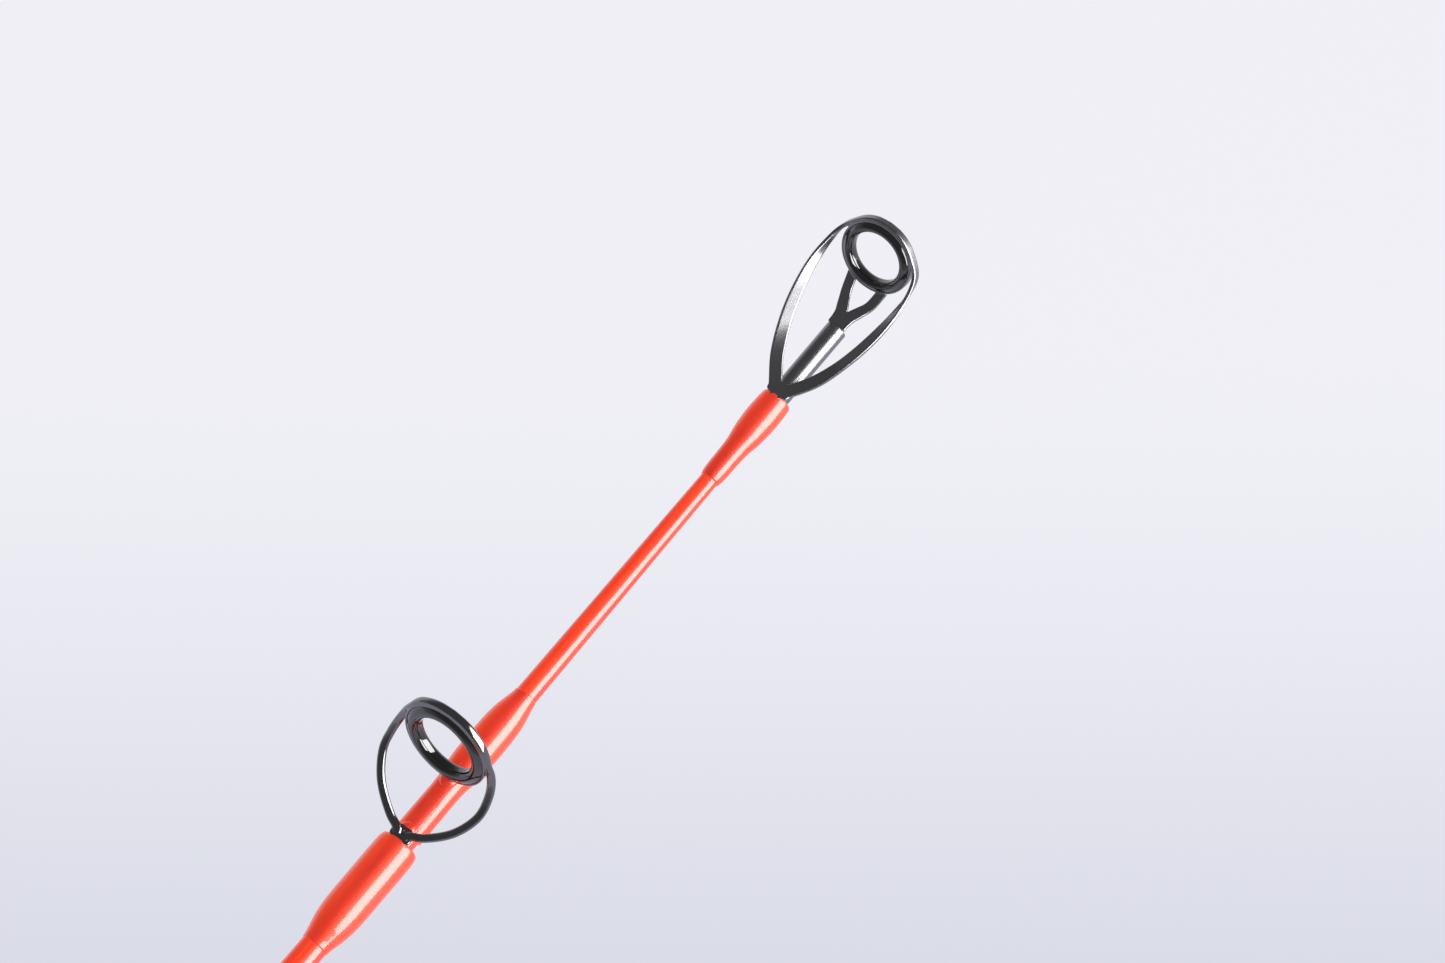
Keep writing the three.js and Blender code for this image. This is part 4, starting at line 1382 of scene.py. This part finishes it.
@dataclass
class ReelSeat:
    """The reel seat: its threaded barrel and saddle, the two hoods, their pads and the nut."""

    blank: Blank
    pitch: float = 3.0
    thread_depth: float = 0.8
    thread_crest: float = 8.3
    barrel: float = 7.7
    undercut: float = 7.3
    bore: float = 5.5
    saddle_width: float = 8.5
    saddle_top: float = 8.9
    saddle: tuple[float, float] = (161.9, 200.9)
    keyway: tuple[float, float] = (1.3, 6.6)
    wall: float = 1.1
    pocket: float = 5.8
    pocket_width: float = 9.6
    slope: float = 6.5
    flutes: int = 24
    knurl: float = 11.0
    play: float = 0.3

    def __post_init__(self) -> None:
        """Places the seat's pieces from their CAD boxes."""
        self.body = NodeBox("reel_seat_body")
        self.nut_box = NodeBox("locking_nut")
        self.sliding = NodeBox("sliding_hood")
        self.fixed = NodeBox("fixed_hood")
        self.thread_start = self.body.start + 2.5
        self.thread_end = self.nut_box.end + 0.5
        self.ceiling = self.saddle_top + self.pocket

    def build(self) -> None:
        """Builds every piece of the seat."""
        for number in (1, 2, 3):
            self.arbor(NodeBox(f"seat_arbor_{number}"))
        self.barrel_piece()
        self.hood("fixed_hood", self.fixed, -1, self.barrel + 0.06, Body.ROD)
        self.hood("sliding_hood", self.sliding, 1, self.thread_crest + self.play, Body.HOOD)
        self.pad("fixed_hood_pad", Body.ROD)
        self.pad("sliding_hood_pad", Body.HOOD)
        self.nut()

    def arbor(self, box: NodeBox) -> None:
        """Builds a rigid foam arbor that centres the blank in the seat."""
        hole = self.blank.radius(box.start) + 0.05
        loop = sleeve(box.start, box.end, hole, box.radius, 0.4)
        place_piece(box.node, Shape().turned(loop), ARBOR_FOAM)

    def barrel_piece(self) -> None:
        """Builds the barrel with its thread, its keyway and the saddle for the reel's foot."""
        turns = (self.thread_end - self.thread_start) / self.pitch
        spans = [
            np.linspace(self.body.start, self.thread_start, 14),
            np.linspace(self.thread_start, self.thread_end, int(turns * 16)),
            np.linspace(self.thread_end, self.body.end, 90),
            self.saddle[0] + np.array([-0.01, 0.15, 0.4]),
            self.saddle[1] + np.array([-0.4, -0.15, 0.01]),
        ]
        stations = np.unique(np.concatenate(spans))

        def outer(x: np.ndarray, turn: np.ndarray) -> np.ndarray:
            """The barrel's radius."""
            cosine, sine = np.cos(turn), np.abs(np.sin(turn))
            angle = (turn - math.pi / 2) / -math.tau
            phase = np.mod((x - self.thread_start) / self.pitch - angle, 1.0)
            ridge = np.clip(1.5 * np.abs(2 * phase - 1) - 0.25, 0.0, 1.0)
            thread = self.thread_crest - self.thread_depth * ridge
            ends = ramp(x - self.thread_start, 1.2) * ramp(self.thread_end - x, 1.2)
            radius = self.undercut + (thread - self.undercut) * ends
            radius = np.where(x < self.thread_start - 0.3, self.body.radius, radius)
            radius = np.where(x > self.thread_end + 0.3, self.barrel, radius)
            keyed = (sine * radius < self.keyway[0]) & (cosine < 0)
            keyed &= (x > self.thread_start - 0.2) & (x < self.sliding.start + 8)
            radius = np.where(keyed, self.keyway[1] / np.maximum(-cosine, 0.2), radius)
            rise = ramp(x - self.saddle[0], 0.4) * ramp(self.saddle[1] - x, 0.4)
            flat = np.where(cosine > 0.05, self.saddle_top / np.maximum(cosine, 0.05), 0.0)
            side = self.saddle_width / 2 / np.maximum(sine, 1e-6)
            saddle = np.minimum(flat, side) * np.sqrt(rise)
            return np.where(cosine > 0.3, np.maximum(radius, saddle), radius)

        shape = Shape().polar(stations, outer, lambda x, turn: self.bore + 0 * turn, 288)
        place_piece("reel_seat_body", shape, SEAT_PLASTIC, sharp_degrees=32)

    def hood(self, node: str, box: NodeBox, side: int, bore: float, body: Body) -> None:
        """Builds a hood: a sleeve with a raised pocket for one end of the reel's foot.

        Args:
            node: The CAD node that it stands for.
            box: Its extent.
            side: +1 where its pocket opens to the tip.
            bore: Its inner radius.
            body: The body that it rides on.
        """
        closed, mouth = (box.start, box.end) if side > 0 else (box.end, box.start)
        length = abs(mouth - closed)

        def tunnel(x: np.ndarray, turn: np.ndarray, grow: float) -> np.ndarray:
            """The radius of the pocket's tunnel, grown by the wall for its outside."""
            rise = ramp(np.abs(x - closed), self.slope)
            rise = rise * rise * (3 - 2 * rise)
            base = bore + grow * 0.9
            top = base + (self.ceiling + grow - base) * np.maximum(rise, 0.18 if grow else 0.0)
            half = self.pocket_width / 2 + grow
            cosine, sine = np.cos(turn), np.abs(np.sin(turn))
            a, b = np.maximum(cosine, 0.0) / top, sine / half
            return 1.0 / np.maximum((a**7 + b**7) ** (1 / 7), 1e-6)

        def outer(x: np.ndarray, turn: np.ndarray) -> np.ndarray:
            """The hood's outside."""
            edge = np.minimum(np.abs(x - closed), np.abs(mouth - x))
            soft = 0.35 * (1 - ramp(edge, 0.45)) ** 2
            arch = np.where(np.cos(turn) > 0.2, tunnel(x, turn, self.wall), 0.0)
            return np.maximum(bore + self.wall + 0 * turn, arch) - soft

        def inner(x: np.ndarray, turn: np.ndarray) -> np.ndarray:
            """The hood's inside."""
            hollow = (np.cos(turn) > 0.2) & (np.abs(x - closed) > 1.3 * self.wall)
            return np.maximum(bore + 0 * turn, np.where(hollow, tunnel(x, turn, 0.0), 0.0))

        reach = [0.0, 0.05, 0.15, 0.3, 0.45, 1.42, 1.44, *np.linspace(1.8, length - 0.5, 30)]
        reach += [length - 0.3, length - 0.15, length - 0.05, length]
        stations = np.sort(closed + side * np.array(reach))
        shape = Shape().polar(stations, outer, inner, 240)
        place_piece(node, shape, HOOD_PLATE, body, sharp_degrees=34)

    def pad(self, node: str, body: Body) -> None:
        """Builds a soft pad under a hood's roof."""
        box = NodeBox(node)
        low, high = box.low, box.high
        middle = (low.z + high.z) / 2
        path = np.array([(x, 0.0, middle) for x in np.linspace(low.x, high.x, 8)])
        shape = Shape().bar(path, high.y - low.y, high.z - low.z, 0.3)
        place_piece(node, shape, PAD_PLASTIC, body)

    def nut(self) -> None:
        """Builds the knurled nut, with a plain collar towards the hood."""
        start, end, radius = self.nut_box.start, self.nut_box.end, self.nut_box.radius
        reach = [0.0, 0.1, 0.3, 0.6, 0.9, 1.3, *np.linspace(1.6, 10.4, 18), 10.7, 11.0, 11.2]
        reach += [11.5, 11.8, 12.1, 12.5, 13.4, 13.7, 13.9, 14.0]
        stations = start + np.array(reach) * (end - start) / 14.0

        def outer(x: np.ndarray, turn: np.ndarray) -> np.ndarray:
            """The nut's ribs, chamfers and collar."""
            inward = x - start
            wave = 0.5 + 0.5 * np.cos(self.flutes * turn)
            knurled = ramp(inward, 1.2) * ramp(self.knurl - inward, 0.9)
            body = radius - 0.55 * wave**1.6 * knurled - (1 - ramp(inward, 1.3)) ** 2
            collar = radius - 0.9 - 0.3 * (1 - ramp(end - x, 0.4)) ** 2
            share = ramp(inward - self.knurl, 0.7)
            return body + (collar - body) * share * share * (3 - 2 * share)

        bore = self.thread_crest + self.play
        shape = Shape().polar(stations, outer, lambda x, turn: bore + 0 * turn, 384)
        place_piece("locking_nut", shape, SEAT_PLASTIC, Body.NUT, sharp_degrees=50)


@dataclass
class HookKeeper:
    """The bent wire that a hook hangs on, and its two wraps."""

    blank: Blank
    span: float = 12.0
    height: float = 5.0
    wire: float = 1.1
    foot: float = 4.2
    shoulder: tuple[tuple[float, float], ...] = (
        (0.0, 0.0), (0.4, 0.2), (1.0, 0.62), (1.7, 0.93), (2.4, 1.0),
    )

    def build(self) -> None:
        """Builds the wire and its wraps."""
        box = NodeBox("hook_keeper")
        middle = (box.start + box.end) / 2
        half, low = self.span / 2, box.high.z - self.height - self.wire / 2
        route = [
            (-half - self.foot, low),
            (-half, low),
            (-half + 2, low + 0.3 * self.height),
            (-1.8, low + self.height),
            (1.8, low + self.height),
            (half - 2, low + 0.3 * self.height),
            (half, low),
            (half + self.foot, low),
        ]
        path = flowing([(middle + x, 0.0, z) for x, z in route], 80)
        place_piece("hook_keeper", Shape().bar(path, self.wire, self.wire, 0.49), POLISHED_METAL)
        for end, far_side in (("rear", -1), ("front", 1)):
            node = f"hook_keeper_{end}_wrap"
            ThreadWrap(node, self.blank, far_side, shoulder=self.shoulder).build()


# ---- The studio ----


@dataclass
class Studio:
    """A pale floor, soft boxes, dim surroundings and the camera."""

    floor_drop: float = 320.0
    floor_size: float = 9000.0
    target: tuple[float, float, float] = (679.2, -1.2, 0.0)
    side_degrees: float = 16.0
    tilt_degrees: float = 17.0
    roll_degrees: float = 49.77
    distance: float = 500.0
    lens: float = 123.2
    pale: tuple[float, float, float] = (0.9, 0.9, 0.955)
    shade: tuple[float, float, float] = (0.68, 0.695, 0.8)
    shade_way: tuple[float, float] = (0.794, 0.608)
    shade_span: tuple[float, float] = (0.54, 0.7)
    floor_light: float = 0.93
    low_world: tuple[float, float, float] = (0.42, 0.42, 0.43)
    high_world: tuple[float, float, float] = (0.15, 0.15, 0.152)
    lit_place: tuple[float, float, float] = (640.0, 0.0, 0.0)

    def build(self) -> None:
        """Builds the whole studio."""
        self.floor()
        self.surroundings()
        self.lamps()
        self.camera()

    def seen_directly(self, graph: Graph) -> Signal:
        """1 for rays from the camera and for those that metal and glass send on."""
        path = graph.node("ShaderNodeLightPath", {}, {})
        camera, glossy, through = (
            Signal(graph, path.outputs[name])
            for name in ("Is Camera Ray", "Is Glossy Ray", "Is Transmission Ray")
        )
        total = camera + glossy + through
        return graph.add("ShaderNodeMath", {"operation": "MINIMUM"}, {0: total, 1: 1.0})

    def floor(self) -> None:
        """Builds the floor, with a painted fall from light to shade over it."""
        mesh = bpy.data.meshes.new("studio_floor")
        half, z = self.floor_size / 2 * MILLIMETRE, -self.floor_drop * MILLIMETRE
        corners = [(-half, -half, z), (half, -half, z), (half, half, z), (-half, half, z)]
        mesh.from_pydata(corners, [], [(0, 1, 2, 3)])
        floor = linked(bpy.data.objects.new("studio_floor", mesh))
        material = bpy.data.materials.new("studio_floor_paint")
        material.use_nodes = True
        graph = Graph(material.node_tree)
        x, y, _ = graph.axes(graph.place())
        along = x * self.shade_way[0] + y * self.shade_way[1]
        # Painted shade: the floor's colour falls from pale to shade along one direction, in place
        # of a lamp's fall-off.
        colour = graph.mix(along.smooth(*self.shade_span), rgba(self.shade), rgba(self.pale))
        paint = graph.node("ShaderNodeBsdfDiffuse", {}, {"Color": colour})
        light = graph.node("ShaderNodeEmission", {}, {"Color": colour, "Strength": 1.0})
        share = self.seen_directly(graph) * self.floor_light
        mixed = graph.node(
            "ShaderNodeMixShader", {}, {0: share, 1: paint.outputs[0], 2: light.outputs[0]}
        )
        graph.node("ShaderNodeOutputMaterial", {}, {"Surface": mixed.outputs[0]})
        mesh.materials.append(material)

    def surroundings(self) -> None:
        """Lights the scene from all round: mid grey low down, dark overhead."""
        world = bpy.data.worlds.new("studio_surroundings")
        bpy.context.scene.world = world
        world.use_nodes = True
        graph = Graph(world.node_tree)
        _, _, z = graph.axes(graph.add("ShaderNodeTexCoord", {}, {}, "Generated"))
        height = z.smooth(-0.05, 0.4)
        colour = graph.mix(height, rgba(self.low_world), rgba(self.high_world))
        background = graph.node("ShaderNodeBackground", {}, {"Color": colour, "Strength": 1.0})
        graph.node("ShaderNodeOutputWorld", {}, {"Surface": background.outputs[0]})

    def lamps(self) -> None:
        """Places a tall box that gloss shows and a softer lamp that lights the colours."""
        middle = Vector(self.lit_place)
        gloss = self.soft_box(
            "gloss_soft_box", middle + Vector((200.0, -560.0, 260.0)), (900.0, 560.0), 14.0
        )
        gloss.visible_diffuse = False
        key = self.soft_box(
            "key_soft_box", middle + Vector((100.0, -500.0, 420.0)), (900.0, 500.0), 4.6
        )
        key.visible_glossy = False

    def soft_box(
        self, name: str, place: Vector, size: tuple[float, float], power: float
    ) -> bpy.types.Object:
        """Adds an area lamp that faces the rod's tip, long along the rod.

        Args:
            name: Its name.
            place: Where it stands, in millimetres.
            size: Its length and height, in millimetres.
            power: Its power, in watts.

        Returns:
            The lamp.
        """
        lamp = bpy.data.lights.new(name, "AREA")
        lamp.shape = "RECTANGLE"
        lamp.size, lamp.size_y = size[0] * MILLIMETRE, size[1] * MILLIMETRE
        lamp.energy = power
        lamp.color = (1.0, 0.985, 0.99)
        made = linked(bpy.data.objects.new(name, lamp))
        aim = Vector(self.lit_place) + Vector((0.0, 0.0, 5.0)) - place
        back = -aim.normalized()
        right = self.along_rod(back)
        made.matrix_world = self.stance(place, (right, back.cross(right), back))
        return made

    @staticmethod
    def along_rod(back: Vector) -> Vector:
        """The direction across another that lies closest to the rod's."""
        rod = Vector((1.0, 0.0, 0.0))
        return (rod - rod.dot(back) * back).normalized()

    @staticmethod
    def stance(place: Vector, axes: Sequence[Vector]) -> Matrix:
        """The placing of something at a place in millimetres, by its three axes."""
        return Matrix.Translation(place * MILLIMETRE) @ Matrix(axes).transposed().to_4x4()

    def camera(self) -> None:
        """Places the camera above the tip, looking down the guides' side."""
        side, tilt = math.radians(self.side_degrees), math.radians(self.tilt_degrees)
        level = math.cos(side)
        out = Vector((-math.sin(side), -math.sin(tilt) * level, math.cos(tilt) * level))
        along = self.along_rod(out)
        across = out.cross(along)
        roll = math.radians(self.roll_degrees)
        right = along * math.cos(roll) - across * math.sin(roll)
        place = Vector(self.target) + out * self.distance
        data = bpy.data.cameras.new("camera")
        data.lens = self.lens
        data.sensor_width = 36.0
        data.clip_start, data.clip_end = 0.01, 50.0
        made = linked(bpy.data.objects.new("camera", data))
        made.matrix_world = self.stance(place, (right, out.cross(right), out))
        bpy.context.scene.camera = made


def main() -> None:
    """Builds the rod's looks and its studio."""
    logging.basicConfig(level=logging.INFO, format="%(message)s")
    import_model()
    bpy.context.scene.view_settings.view_transform = "Standard"
    blank = Blank()
    blank.build()
    TipTop(blank).build()
    for number, (outer, bore, foot) in enumerate(GUIDE_SIZES, 1):
        Guide(number, outer, bore, foot, blank).build()
    HookKeeper(blank).build()
    Grip(blank).build()
    ReelSeat(blank).build()
    Studio().build()


if __name__ == "__main__":
    main()
